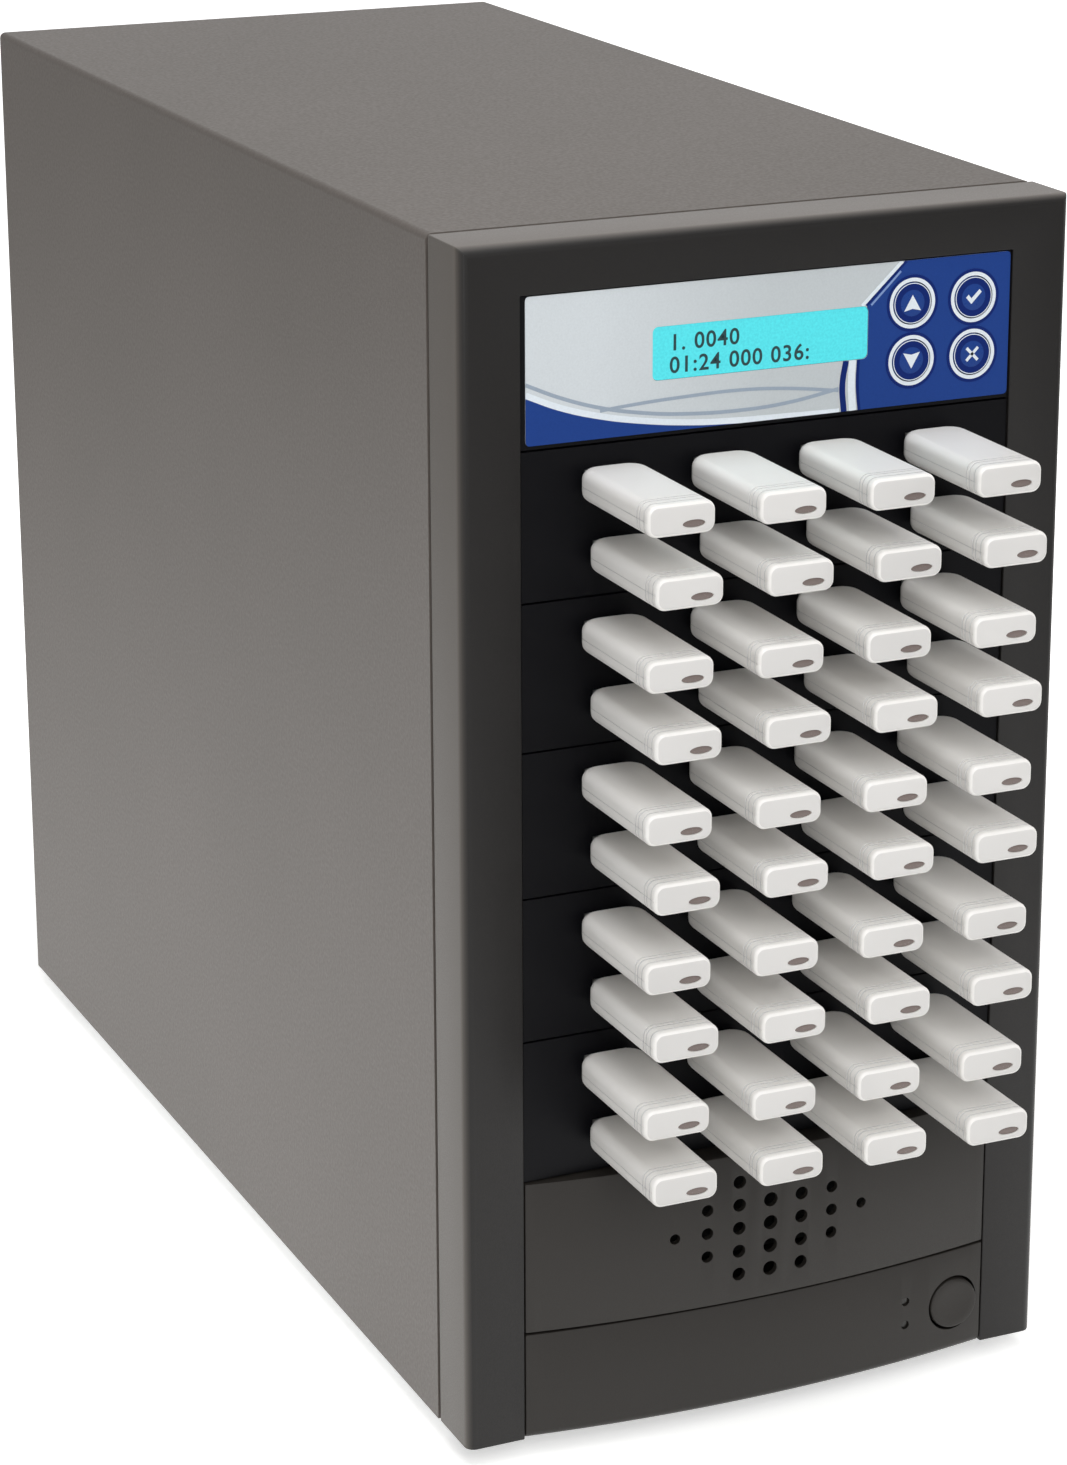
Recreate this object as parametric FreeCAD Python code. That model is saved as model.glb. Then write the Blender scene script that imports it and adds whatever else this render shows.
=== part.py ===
"""Tower duplicator for USB drives: six front bays, forty ports, forty drives.

Millimetres. X points right and Z up as seen from the front, and Y points to the
back. The model is built in case coordinates, with y = 0 at the bezel's face, and
is moved at the end so that its origin is the bottom centre of the whole box.
"""
import FreeCAD, Part
import math
import os

Vec = FreeCAD.Vector
ALONG_X = Vec(1, 0, 0)
ALONG_Y = Vec(0, 1, 0)
ALONG_Z = Vec(0, 0, 1)

# ------------------------------------------------------------------ case
case_width = 184.5           # outside of the cover and of the bezel
case_depth = 411.0           # bezel face to the cover's rear edge
foot_height = 6.0            # floor to the underside of the case
sheet = 1.0                  # steel of the cover and of the chassis
slide_gap = 0.3              # cover to chassis, on every side
fit_gap = 0.3                # panel to opening, piece to cut-out
over = 1.0                   # how far a cutting tool runs past a face
tiny = 1e-6                  # two places closer than this are the same

# ------------------------------------------------------------------ front
bay_width = 149.0            # clear width between the bezel's return walls
bay_height = 42.3            # one half-height 5.25 inch bay
port_plate_count = 5
top_margin = 14.3            # bezel above the uppermost bay
vent_height = 46.5           # slot that the vent panel fills
chin_height = 33.0           # slot that the chin panel fills
bezel_depth = 20.5
bezel_face = 3.0             # thickness of the bezel's front face
bezel_skirt = 2.5            # thickness of the bezel's outer walls
bezel_return = 2.0           # thickness of the walls round the opening
bezel_radius = 3.0           # outer front edges
bezel_rail_start = 5.0       # bottom rail, behind the chin's wall
seam = 1.5                   # dark joint between bezel and cover

# ------------------------------------------------------------------ cover and chassis
cover_bend = 2.0             # outside radius of the cover's folds
rear_door_side = 5.25        # doorway in the cover's back, past the sides of the supply
rear_door_top = 1.3          # and past its top
pan_flange = 18.0            # base pan turned up inside the cover
cage_depth = 150.0           # bay walls behind the front frame
frame_sill = 12.0            # front frame left standing round the vent and chin
rear_slot_width = 52.0
rear_slot_height = 4.0
rear_slot_pitch = 10.0
rear_slot_rows = 8
rear_slot_low = 48.0         # lowest slot above the base

# ------------------------------------------------------------------ feet
foot_diameter = 20.0
foot_flats = 24
foot_side_inset = 20.0       # foot centre from the side of the case
foot_front_inset = 42.0      # foot centre from the bezel's face
foot_rear_inset = 30.0       # foot centre from the rear edge

# ------------------------------------------------------------------ bay plates
plate_recess = 0.8           # plate face behind the bezel's face
plate_thickness = 3.0
ear_thickness = 1.2          # side brackets that run back along the cage
ear_height = 34.0
port_ear_depth = 60.0
boss_side = 5.0              # square posts that carry the hub boards
boss_inset = 8.5             # post centres from the bay's sides
boss_offset_z = 15.0

# ------------------------------------------------------------------ ports
port_columns = 4
port_rows = 2                # in each plate
port_pitch_x = 32.6
port_pitch_z = 20.0
port_stagger = 2.6           # each row to the right of the one above it
port_rise = 1.3              # middle of the rows above the plate's middle
socket_width = 13.1
socket_height = 5.7
socket_length = 14.5
socket_wall = 0.3
socket_floor = 1.6
tongue_width = 10.8
tongue_thickness = 1.3
tongue_length = 8.4

# ------------------------------------------------------------------ drives
drive_width = 19.6
drive_thickness = 8.8
drive_length = 46.0
drive_edge_radius = 2.6
drive_edge_flats = 2         # flats that make up each rounded edge
drive_shoulder_gap = 0.4     # casing to plate when pushed home
plug_width = 12.0
plug_height = 4.5
plug_length = 11.9
plug_wall = 0.3
plug_block = 2.0             # plastic left in the lower half of the plug
plug_cavity_depth = 9.0
window_width = 6.8           # oval light window in the end of the casing
window_height = 2.2
window_depth = 0.6
window_offset_x = 3.4
window_offset_z = -1.4

# ------------------------------------------------------------------ control panel
lcd_window_width = 65.6
lcd_window_height = 14.8
lcd_offset_x = -2.9
lcd_offset_z = 1.9
lcd_glass_recess = 0.8       # glass behind the plate's face
lcd_frame_width = 71.4
lcd_frame_height = 26.6
lcd_frame_depth = 7.0
lcd_board_width = 80.0
lcd_board_height = 36.0
board_thickness = 1.6
key_inset = 12.1             # right column of keys from the bay's right side
key_pitch_x = 19.2
key_pitch_z = 16.1
key_offset_z = 0.7
key_diameter = 11.6
key_flats = 28               # in place of a circle, as on the other round pieces
key_gap = 0.25               # key to its hole, all round
key_proud = 0.5
key_rim = 1.2                # key behind the plate
key_tab_reach = 1.4          # retaining tabs behind the plate
key_tab_width = 4.0
key_stem_side = 3.0
key_stem_length = 3.5
key_travel = 0.6
stem_gap = 0.15              # stem to the hole in its switch
switch_side = 6.2
switch_height = 4.0
switch_stand_off = 2.0       # key's back to the switch
key_board_height = 36.0
key_board_gap = 0.7           # to the display's board
controller_depth = 90.0
controller_start = 18.0      # from the bezel's face
ledge_width = 6.0            # ledges on the ears that carry the controller board

# ------------------------------------------------------------------ parts on the boards
hub_board_edge = 1.0         # board past its posts, above and below
hub_chip_side = 12.0
hub_chip_height = 1.4
hub_header_width = 20.0
hub_header_height = 6.0
hub_header_depth = 9.0
chip_side = 28.0             # processor of the controller board
chip_height = 2.5
sink_side = 24.0             # heat sink on the processor
sink_top = 14.0
sink_foot = 1.5              # underside of the sink, sunk into the processor
socket_block_width = 20.0    # cable sockets of the controller board
socket_block_depth = 6.0
socket_block_height = 8.0
socket_block_start = 30.0    # behind the middle of the board
socket_block_x = (-50.0, -24.0, 24.0, 50.0)

# ------------------------------------------------------------------ vent panel and chin
fascia_wall = 1.8
vent_bow = 6.5               # how far the middle stands proud of the ends
chin_bow = 5.8
vent_column_pitch = 10.0
vent_row_pitch = 7.2
vent_columns = 7             # of holes
vent_rows = 5                # in the three middle columns, and two fewer in each further out
vent_hole_middle = 4.4       # diameter in the middle column
vent_hole_step = 0.4         # smaller by this for each column outwards
vent_flats = 8
button_inset = 10.7          # button's axis from the opening's right side
button_height = 15.6         # button centre above the underside of the case
button_diameter = 15.6
button_flats = 36
button_gap = 0.6
button_proud = 1.0
button_body = 7.0            # cap from its face to its back
button_travel = 2.0
button_tab_reach = 1.3
button_tab_width = 5.0
button_edge = 0.8            # bevelled rim of the cap
button_stem_side = 5.0
button_stem_length = 5.0
lamp_inset = 27.7            # lamps from the opening's right side
lamp_heights = (20.1, 12.6)  # lamp centres above the underside of the case
lamp_diameter = 2.4
lamp_flats = 12
lamp_gap = 0.15
front_board_width = 42.0
front_board_height = 21.0
front_board_inset = 23.5     # its middle from the opening's right side
front_board_y = 14.0
front_switch_side = 9.0
front_switch_gap = 0.6       # pressed button to its switch
button_tab_gap = 0.1

# ------------------------------------------------------------------ power supply
supply_width = 150.0
supply_height = 86.0
supply_length = 140.0
supply_drop = 12.0           # below the underside of the cover
supply_window_inset = 3.5    # rear panel over the edge of the supply
supply_window_corner = 13.0  # cut corners, where the screws go in
fan_side = 80.0
fan_thickness = 25.0
fan_inset = 45.0             # fan's axis from the supply's left side
fan_bore = 77.0
fan_hub_diameter = 31.0
fan_hub_flats = 28
fan_bore_flats = 48
fan_hub_length = 17.0
fan_blades = 7
fan_blade_thickness = 1.4
fan_blade_chord = 18.0
fan_blade_pitch = 35.0       # degrees from the plane of rotation
fan_tip_gap = 1.2
fan_end_gap = 1.5
fan_shaft_diameter = 3.0
fan_shaft_gap = 0.05
fan_shaft_length = 2.6
fan_mount_thickness = 3.0
fan_strut_width = 5.0
grille_slots = 9
grille_slot_width = 4.4
grille_slot_pitch = 7.6
grille_rib = 3.0             # upright rib through the middle of the slots
inlet_inset = 26.0           # inlet and rocker from the supply's right side
inlet_rise = 17.0            # inlet centre above the supply's centre
inlet_flange_width = 30.0
inlet_flange_height = 22.4
inlet_flange = 2.0
inlet_wall = 1.4
inlet_width = 24.2
inlet_height = 16.6
inlet_depth = 16.5
inlet_pin_width = 2.0
inlet_pin_height = 4.0
inlet_pin_length = 14.5
inlet_pin_pitch = 7.0
inlet_pin_drop = 1.0          # line and neutral below the inlet's centre
inlet_earth_rise = 3.0        # earth above it
inlet_corner = 4.0
rocker_drop = 15.0           # rocker centre below the supply's centre
rocker_length = 16.4
rocker_height = 10.8
rocker_slot_length = 18.2
rocker_slot_height = 11.4
rocker_frame = 1.6           # border of the switch frame round its slot
rocker_slot_depth = 7.0
rocker_face = 1.2            # rocker ends proud of the frame, when level
rocker_valley = 1.0          # how far the middle dips below the ends
rocker_root = 4.0            # rocker below the frame's face
rocker_pivot_depth = 3.0
rocker_pin_diameter = 2.2
rocker_pin_gap = 0.05
rocker_pin_length = 1.2
rocker_tilt = 9.0            # degrees each way from level
rocker_taper = 0.82          # root as a share of the rocker's length
rocker_blind = 0.2           # plastic left outside the pin bearings

# ------------------------------------------------------------------ screws
screw_head_width = 6.4       # across the flats
screw_head_height = 2.6
cover_screw_rows = 3
cover_screw_margin = 24.0
supply_screw_inset = 6.0     # from the edges of the supply


def bow_y(x, half, bow):
    """Y of an arc that meets y = 0 at plus and minus half, and -bow in the middle."""
    radius = (half ** 2 + bow ** 2) / (2 * bow)
    return radius - bow - math.sqrt(radius ** 2 - x ** 2)


# ------------------------------------------------------------------ derived places
bay_count = 1 + port_plate_count
case_bottom = foot_height
case_height = top_margin + bay_count * bay_height + vent_height + chin_height
case_top = case_bottom + case_height
half_case = case_width / 2
half_bay = bay_width / 2
boss_offset_x = half_bay - boss_inset
key_column_x = half_bay - key_inset - key_pitch_x
button_x = half_bay - button_inset
lamp_x = half_bay - lamp_inset
front_board_x = half_bay - front_board_inset
bay_top = case_top - top_margin
bay_bottom = bay_top - bay_count * bay_height
chin_top = case_bottom + chin_height
plate_back = plate_recess + plate_thickness
half_plate = half_bay - fit_gap
inner_half = half_case - sheet - slide_gap
inner_top = case_top - sheet - slide_gap
frame_back = bezel_depth + sheet
cover_front = bezel_depth + seam
rear_panel_back = case_depth - sheet
rear_panel_front = rear_panel_back - sheet
pan_top = case_bottom + sheet
hub_board_front = plate_recess + socket_length
control_z = bay_top - bay_height / 2
supply_z = inner_top - supply_drop - supply_height / 2
supply_rear = rear_panel_front
rear_flange = half_case - supply_width / 2 - rear_door_side     # cover turned in at the back
rear_top_flange = case_top - supply_z - supply_height / 2 - rear_door_top
fan_x = fan_inset - supply_width / 2
inlet_x = supply_width / 2 - inlet_inset
inlet_z = supply_z + inlet_rise
rocker_z = supply_z - rocker_drop
rocker_pivot_y = supply_rear + inlet_flange - rocker_pivot_depth
fan_rotor_front = supply_rear - sheet - fan_thickness + fan_mount_thickness + fan_end_gap
drive_seat = plate_recess - drive_shoulder_gap
drive_end = drive_seat - drive_length
rear_end = case_depth + screw_head_height
tongue_rise = plug_block / 2     # middle of the space that the plug leaves free
button_front = bow_y(button_x, half_plate, chin_bow) - button_proud
button_back = button_front + button_body
front_switch_front = button_back + button_travel + front_switch_gap
key_face = plate_recess - key_proud
key_back = plate_back + key_rim
key_switch_front = key_back + switch_stand_off
key_board_front = key_switch_front + switch_height
key_board_left = lcd_offset_x + lcd_board_width / 2 + key_board_gap
key_board_right = half_plate - ear_thickness - fit_gap
controller_z = control_z - ear_height / 2 + ear_thickness
centre_shift = Vec(0, -(drive_end + rear_end) / 2, 0)


# ------------------------------------------------------------------ helpers
def block(x_low, x_high, y_low, y_high, z_low, z_high):
    """A block between two opposite corners."""
    size = (x_high - x_low, y_high - y_low, z_high - z_low)
    return Part.makeBox(*size, Vec(x_low, y_low, z_low))


def bar(x, z, width, height, y_low, y_high):
    """A rectangular bar along Y, centred on x and z."""
    return block(x - width / 2, x + width / 2, y_low, y_high, z - height / 2, z + height / 2)


def rod(x, z, diameter, y_low, y_high):
    """A round bar along Y."""
    return Part.makeCylinder(diameter / 2, y_high - y_low, Vec(x, y_low, z), ALONG_Y)


def flat_sided_rod(x, z, diameter, sides, y_low, y_high):
    """A round bar along Y with many flats, for what repeats often."""
    corners = []
    for step in range(sides):
        angle = 2 * math.pi * (step + 0.5) / sides
        corners.append(Vec(x + diameter / 2 * math.cos(angle), y_low,
                           z + diameter / 2 * math.sin(angle)))
    return extruded(corners, Vec(0, y_high - y_low, 0))


def extruded(points, travel):
    """A closed polygon of points, extruded along travel."""
    outline = Part.makePolygon(points + points[:1])
    return Part.Face(outline).extrude(travel)


def group(solids):
    """Separate solids that share one node."""
    return Part.makeCompound(solids)


def fused(first, others):
    """One solid out of several that meet."""
    return first.fuse(others).removeSplitter()


def edges_along(shape, direction, test):
    """Straight edges along a direction whose middle passes a test."""
    chosen = []
    for edge in shape.Edges:
        ends = edge.Vertexes
        span = ends[-1].Point - ends[0].Point
        if span.Length > 0 and span.cross(direction).Length < tiny and test(edge.CenterOfMass):
            chosen.append(edge)
    return chosen


def plate_centre_z(index):
    """Height of the middle of a port plate, counted from the top one."""
    return bay_top - (index + 1.5) * bay_height


def port_places():
    """(x, z) of every port, row by row from the top left."""
    places = []
    for plate in range(port_plate_count):
        for row in range(port_rows):
            z = plate_centre_z(plate) + port_rise + ((port_rows - 1) / 2 - row) * port_pitch_z
            for column in range(port_columns):
                x = (column - (port_columns - 1) / 2) * port_pitch_x + row * port_stagger
                places.append((x, z))
    return places


def key_places():
    """(x, z) of each key by name."""
    right = key_column_x + key_pitch_x
    high = control_z + key_offset_z + key_pitch_z / 2
    low = high - key_pitch_z
    return {
        "key_up": (key_column_x, high),
        "key_down": (key_column_x, low),
        "key_enter": (right, high),
        "key_escape": (right, low),
    }


# ------------------------------------------------------------------ cover
def make_outer_cover():
    """One folded sheet: two sides and the top, turned in at the back."""
    def wrap(inset, y_low, y_high, z_low):
        body = block(-half_case + inset, half_case - inset, y_low, y_high,
                     z_low, case_top - inset)
        corners = edges_along(body, ALONG_Y, lambda p: p.z > case_bottom + case_height / 2)
        return body.makeFillet(cover_bend - inset, corners)

    outside = wrap(0, cover_front, case_depth, case_bottom)
    hollow = wrap(sheet, cover_front - over, rear_panel_back, case_bottom - over)
    doorway = block(-half_case + rear_flange, half_case - rear_flange, rear_panel_back - over,
                    case_depth + over, case_bottom - over, case_top - rear_top_flange)
    return outside.cut([hollow, doorway])


# ------------------------------------------------------------------ chassis
def make_base_pan():
    """Bottom sheet with its sides and back turned up."""
    low, high = case_bottom, case_bottom + pan_flange
    tray = block(-inner_half, inner_half, bezel_depth, rear_panel_front, low, high)
    inside = block(-inner_half + sheet, inner_half - sheet, bezel_depth - over,
                   rear_panel_front - sheet, pan_top, high + over)
    return tray.cut(inside)


def make_rear_panel():
    """Back sheet with the window for the power supply and the outlet slots."""
    panel = block(-inner_half, inner_half, rear_panel_front, rear_panel_back,
                  case_bottom, inner_top)
    half_x = supply_width / 2 - supply_window_inset
    half_z = supply_height / 2 - supply_window_inset
    cut = supply_window_corner
    corners = [(-half_x + cut, -half_z), (half_x - cut, -half_z), (half_x, -half_z + cut),
               (half_x, half_z - cut), (half_x - cut, half_z), (-half_x + cut, half_z),
               (-half_x, half_z - cut), (-half_x, -half_z + cut)]
    start = rear_panel_front - over
    outline = [Vec(x, start, supply_z + z) for x, z in corners]
    cutters = [extruded(outline, Vec(0, sheet + 2 * over, 0))]
    for row in range(rear_slot_rows):
        z = case_bottom + rear_slot_low + row * rear_slot_pitch
        for side in (-1, 1):
            x = side * (rear_slot_width / 2 + rear_slot_pitch / 2)
            cutters.append(bar(x, z, rear_slot_width, rear_slot_height, start,
                               rear_panel_back + over))
    return panel.cut(cutters)


def make_bay_cage():
    """Front frame, with the walls of the bays folded back from it."""
    frame = block(-inner_half, inner_half, bezel_depth, frame_back, pan_top, inner_top)
    bays = block(-half_bay, half_bay, bezel_depth - over, frame_back + over,
                 bay_bottom, bay_top)
    intake = block(-half_bay + frame_sill, half_bay - frame_sill, bezel_depth - over,
                   frame_back + over, pan_top + frame_sill, bay_bottom - frame_sill)
    walls = []
    for side in (-1, 1):
        low, high = sorted((side * half_bay, side * (half_bay + sheet)))
        walls.append(block(low, high, bezel_depth, frame_back + cage_depth, bay_bottom, bay_top))
    return fused(frame.cut([bays, intake]), walls)


def make_chassis():
    """The riveted steel body that everything hangs on."""
    cage = make_bay_cage()
    pan = make_base_pan().cut(cage)
    return group([pan, make_rear_panel(), cage])


# ------------------------------------------------------------------ front bezel
def make_front_bezel():
    """Moulded frame, hollow behind its face, open round the bays, vent and chin."""
    body = block(-half_case, half_case, 0, bezel_depth, case_bottom, case_top)
    uprights = edges_along(body, ALONG_Z, lambda p: p.y < bezel_depth / 2)
    lintel = edges_along(body, ALONG_X, lambda p: p.y < bezel_depth / 2 and p.z > bay_bottom)
    body = body.makeFillet(bezel_radius, uprights + lintel)
    opening = block(-half_bay, half_bay, -over, bezel_depth + over, case_bottom - over, bay_top)
    wall_in = half_bay + bezel_return
    wall_out = half_case - bezel_skirt
    low, high = case_bottom + bezel_skirt, case_top - bezel_skirt
    hollows = [
        block(-wall_out, -wall_in, bezel_face, bezel_depth + over, low, high),
        block(wall_in, wall_out, bezel_face, bezel_depth + over, low, high),
        block(-wall_in - over, wall_in + over, bezel_face, bezel_depth + over,
              bay_top + bezel_return, high),
    ]
    rail = block(-half_bay - over, half_bay + over, bezel_rail_start, bezel_depth,
                 case_bottom, case_bottom + bezel_skirt)
    return fused(body.cut([opening] + hollows), [rail])


# ------------------------------------------------------------------ feet
def make_rubber_feet():
    """Four rubber pads under the base pan."""
    across = half_case - foot_side_inset
    pads = []
    for x in (-across, across):
        for y in (foot_front_inset, case_depth - foot_rear_inset):
            pad = flat_sided_rod(0, 0, foot_diameter, foot_flats, -foot_height, 0)
            pad.rotate(Vec(0, 0, 0), ALONG_X, -90)
            pads.append(pad.translated(Vec(x, y, 0)))
    return group(pads)


# ------------------------------------------------------------------ bay plates
def make_blank_plate(z, ear_depth):
    """Bay plate with the two ears that slide back along the cage."""
    height = bay_height - 2 * fit_gap
    plate = bar(0, z, 2 * half_plate, height, plate_recess, plate_back)
    ears = []
    for side in (-1, 1):
        x = side * (half_plate - ear_thickness / 2)
        ears.append(bar(x, z, ear_thickness, ear_height, plate_recess + over,
                        plate_back + ear_depth))
    return fused(plate, ears)


def make_port_plates():
    """Plates cut for eight sockets each, with posts for the hub board."""
    plates = []
    ports = port_places()
    per_plate = port_rows * port_columns
    for index in range(port_plate_count):
        z = plate_centre_z(index)
        posts = []
        for x in (-boss_offset_x, boss_offset_x):
            for rise in (-boss_offset_z, boss_offset_z):
                posts.append(bar(x, z + rise, boss_side, boss_side, plate_recess + over,
                                 hub_board_front))
        cut_outs = []
        for port_x, port_z in ports[index * per_plate:(index + 1) * per_plate]:
            cut_outs.append(bar(port_x, port_z, socket_width + 2 * fit_gap,
                                socket_height + 2 * fit_gap, -over, plate_back + over))
        plates.append(fused(make_blank_plate(z, port_ear_depth), posts).cut(cut_outs))
    return group(plates)


def make_socket():
    """USB-A receptacle at x = z = 0: a shell, its floor and the contact tongue."""
    back = plate_recess + socket_length
    shell = bar(0, 0, socket_width, socket_height, plate_recess, back)
    mouth = bar(0, 0, socket_width - 2 * socket_wall, socket_height - 2 * socket_wall,
                plate_recess - over, back - socket_floor)
    tongue_start = back - socket_floor - tongue_length
    tongue = bar(0, tongue_rise, tongue_width, tongue_thickness, tongue_start, back - over)
    return fused(shell.cut(mouth), [tongue])


def make_port_sockets():
    """One receptacle behind every cut-out."""
    socket = make_socket()
    return group([socket.translated(Vec(x, 0, z)) for x, z in port_places()])


# ------------------------------------------------------------------ drives
def make_casing():
    """White casing: a slab with rounded edges and a sunk light window in its end."""
    outline = []
    for quarter in range(4):
        turn = math.pi / 2 * quarter
        side = 1 if quarter in (0, 3) else -1
        rise = 1 if quarter < 2 else -1
        for step in range(drive_edge_flats + 1):
            angle = turn + math.pi / 2 * step / drive_edge_flats
            x = side * (drive_width / 2 - drive_edge_radius) + drive_edge_radius * math.cos(angle)
            z = rise * (drive_thickness / 2 - drive_edge_radius) + drive_edge_radius * math.sin(angle)
            outline.append(Vec(x, drive_end, z))
    slab = extruded(outline, Vec(0, drive_length, 0))
    half_w, half_h = window_width / 2, window_height / 2
    flat = half_w - half_h
    corners = [(-flat, -half_h), (flat, -half_h), (half_w, 0), (flat, half_h),
               (-flat, half_h), (-half_w, 0)]
    outline = [Vec(window_offset_x + x, drive_end - over, window_offset_z + z)
               for x, z in corners]
    return slab.cut(extruded(outline, Vec(0, over + window_depth, 0)))


def make_plug():
    """USB-A plug: a metal shell whose lower half is filled with plastic."""
    tip = drive_seat + plug_length
    shell = bar(0, 0, plug_width, plug_height, drive_seat, tip)
    low = -plug_height / 2 + plug_wall + plug_block
    high = plug_height / 2 - plug_wall
    half = plug_width / 2 - plug_wall
    return shell.cut(block(-half, half, tip - plug_cavity_depth, tip + over, low, high))


def make_drive():
    """One drive, plugged in at x = z = 0."""
    return group([make_casing(), make_plug()])


# ------------------------------------------------------------------ control panel
def make_control_panel():
    """Bay plate with the display window, four key holes and two board ledges."""
    window = bar(lcd_offset_x, control_z + lcd_offset_z, lcd_window_width, lcd_window_height,
                 -over, plate_back + over)
    cutters = [window]
    for x, z in key_places().values():
        cutters.append(flat_sided_rod(x, z, key_diameter + 2 * key_gap, key_flats,
                                      -over, plate_back + over))
    ledges = []
    for side in (-1, 1):
        x = side * (half_plate - ledge_width / 2)
        ledges.append(bar(x, controller_z - ear_thickness / 2, ledge_width, ear_thickness,
                          controller_start, controller_start + controller_depth))
    posts = []
    for rise in (-boss_offset_z, boss_offset_z):
        posts.append(bar(key_board_right - boss_side / 2, control_z + rise, boss_side, boss_side,
                         plate_recess + over, key_board_front))
    plate = make_blank_plate(control_z, controller_start + controller_depth - plate_back)
    return fused(plate, ledges + posts).cut(cutters)


def make_lcd_module():
    """Display: a glass that fills the window, its frame and its board."""
    x, z = lcd_offset_x, control_z + lcd_offset_z
    frame_end = plate_back + lcd_frame_depth
    glass = bar(x, z, lcd_window_width - 2 * fit_gap, lcd_window_height - 2 * fit_gap,
                plate_recess + lcd_glass_recess, plate_back)
    frame = bar(x, z, lcd_frame_width, lcd_frame_height, plate_back, frame_end)
    board = bar(x, control_z, lcd_board_width, lcd_board_height, frame_end,
                frame_end + board_thickness)
    return group([glass, frame, board])


def make_key():
    """Round key at x = z = 0, with two retaining tabs and a square stem."""
    cap = flat_sided_rod(0, 0, key_diameter, key_flats, key_face, key_back)
    tabs = bar(0, 0, key_diameter + 2 * key_tab_reach, key_tab_width, plate_back, key_back)
    stem = bar(0, 0, key_stem_side, key_stem_side, key_back - over, key_back + key_stem_length)
    return fused(cap, [tabs, stem])


# ------------------------------------------------------------------ circuit boards
def make_hub_board(z):
    """Upright board that carries the eight sockets of one plate."""
    width = 2 * (boss_offset_x + boss_side)
    back = hub_board_front + board_thickness
    height = 2 * (boss_offset_z + hub_board_edge) + boss_side
    board = bar(0, z, width, height, hub_board_front, back)
    inside = back - board_thickness / 2
    chips = [bar(x, z, hub_chip_side, hub_chip_side, inside, back + hub_chip_height)
             for x in (-port_pitch_x, port_pitch_x)]
    header = bar(0, z, hub_header_width, hub_header_height, inside, back + hub_header_depth)
    return fused(board, chips + [header])


def make_key_board():
    """Board behind the keys, with one switch for each."""
    half = key_board_height / 2
    board = block(key_board_left, key_board_right, key_board_front,
                  key_board_front + board_thickness, control_z - half, control_z + half)
    switches = []
    holes = []
    hole_side = key_stem_side + 2 * stem_gap
    for x, z in key_places().values():
        switches.append(bar(x, z, switch_side, switch_side, key_switch_front,
                            key_board_front + board_thickness / 2))
        holes.append(bar(x, z, hole_side, hole_side, key_switch_front - over, key_board_front))
    return fused(board, switches).cut(holes)


def make_controller_board():
    """Main board, lying on the ledges behind the display."""
    half = half_plate - ear_thickness - fit_gap
    top = controller_z + board_thickness
    board = block(-half, half, controller_start, controller_start + controller_depth,
                  controller_z, top)
    middle = controller_start + controller_depth / 2
    half_chip, half_sink = chip_side / 2, sink_side / 2
    processor = block(-half_chip, half_chip, middle - half_chip, middle + half_chip,
                      top - over, top + chip_height)
    sink = block(-half_sink, half_sink, middle - half_sink, middle + half_sink,
                 top + sink_foot, top + sink_top)
    row = middle + socket_block_start
    reach = socket_block_width / 2
    headers = [block(x - reach, x + reach, row, row + socket_block_depth,
                     top - over, top + socket_block_height) for x in socket_block_x]
    return fused(board, [processor, sink] + headers)


def make_front_board():
    """Small board behind the chin, with the power switch and two lamps."""
    z = case_bottom + button_height
    back = front_board_y + board_thickness
    inside = front_board_y + board_thickness / 2
    board = bar(front_board_x, z, front_board_width, front_board_height, front_board_y, back)
    switch = bar(button_x, z, front_switch_side, front_switch_side, front_switch_front, inside)
    lamps = []
    for rise in lamp_heights:
        front = bow_y(lamp_x, half_plate, chin_bow) + fascia_wall / 2
        lamps.append(flat_sided_rod(lamp_x, case_bottom + rise, lamp_diameter, lamp_flats,
                                    front, inside))
    hole_side = button_stem_side + 2 * stem_gap
    hole = bar(button_x, z, hole_side, hole_side, front_switch_front - over, front_board_y)
    return fused(board, [switch] + lamps).cut(hole)


def make_circuit_boards():
    """All the boards: five hubs, the keys, the controller and the front switch."""
    hubs = [make_hub_board(plate_centre_z(index)) for index in range(port_plate_count)]
    return group(hubs + [make_key_board(), make_controller_board(), make_front_board()])


# ------------------------------------------------------------------ vent panel and chin
def bowed_block(half, bow, y_shift, y_back, z_low, z_high):
    """Upright block whose front is one shallow arc."""
    left, right = Vec(-half, y_shift, z_low), Vec(half, y_shift, z_low)
    front = Part.Arc(left, Vec(0, y_shift - bow, z_low), right).toShape()
    rear_right, rear_left = Vec(half, y_back, z_low), Vec(-half, y_back, z_low)
    back = Part.makePolygon([right, rear_right, rear_left, left])
    outline = Part.Wire([front] + back.Edges)
    return Part.Face(outline).extrude(Vec(0, 0, z_high - z_low))


def bowed_tray(bow, z_low, z_high):
    """Moulded tray with a bowed front, open at the back."""
    outside = bowed_block(half_plate, bow, 0, bezel_depth, z_low, z_high)
    inside = bowed_block(half_plate - fascia_wall, bow, fascia_wall, bezel_depth + over,
                         z_low + fascia_wall, z_high - fascia_wall)
    return outside.cut(inside)


def make_vent_panel():
    """Bowed panel with a lozenge of round holes, largest in the middle."""
    low, high = chin_top + fit_gap, bay_bottom - fit_gap
    middle = vent_columns // 2
    holes = []
    for steps in range(-middle, middle + 1):
        count = vent_rows - 2 * max(0, abs(steps) - 1)
        diameter = vent_hole_middle - vent_hole_step * abs(steps)
        for row in range(count):
            z = (low + high) / 2 + (row - (count - 1) / 2) * vent_row_pitch
            holes.append(flat_sided_rod(steps * vent_column_pitch, z, diameter, vent_flats,
                                        -vent_bow - over, fascia_wall + over))
    return bowed_tray(vent_bow, low, high).cut(holes)


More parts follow.
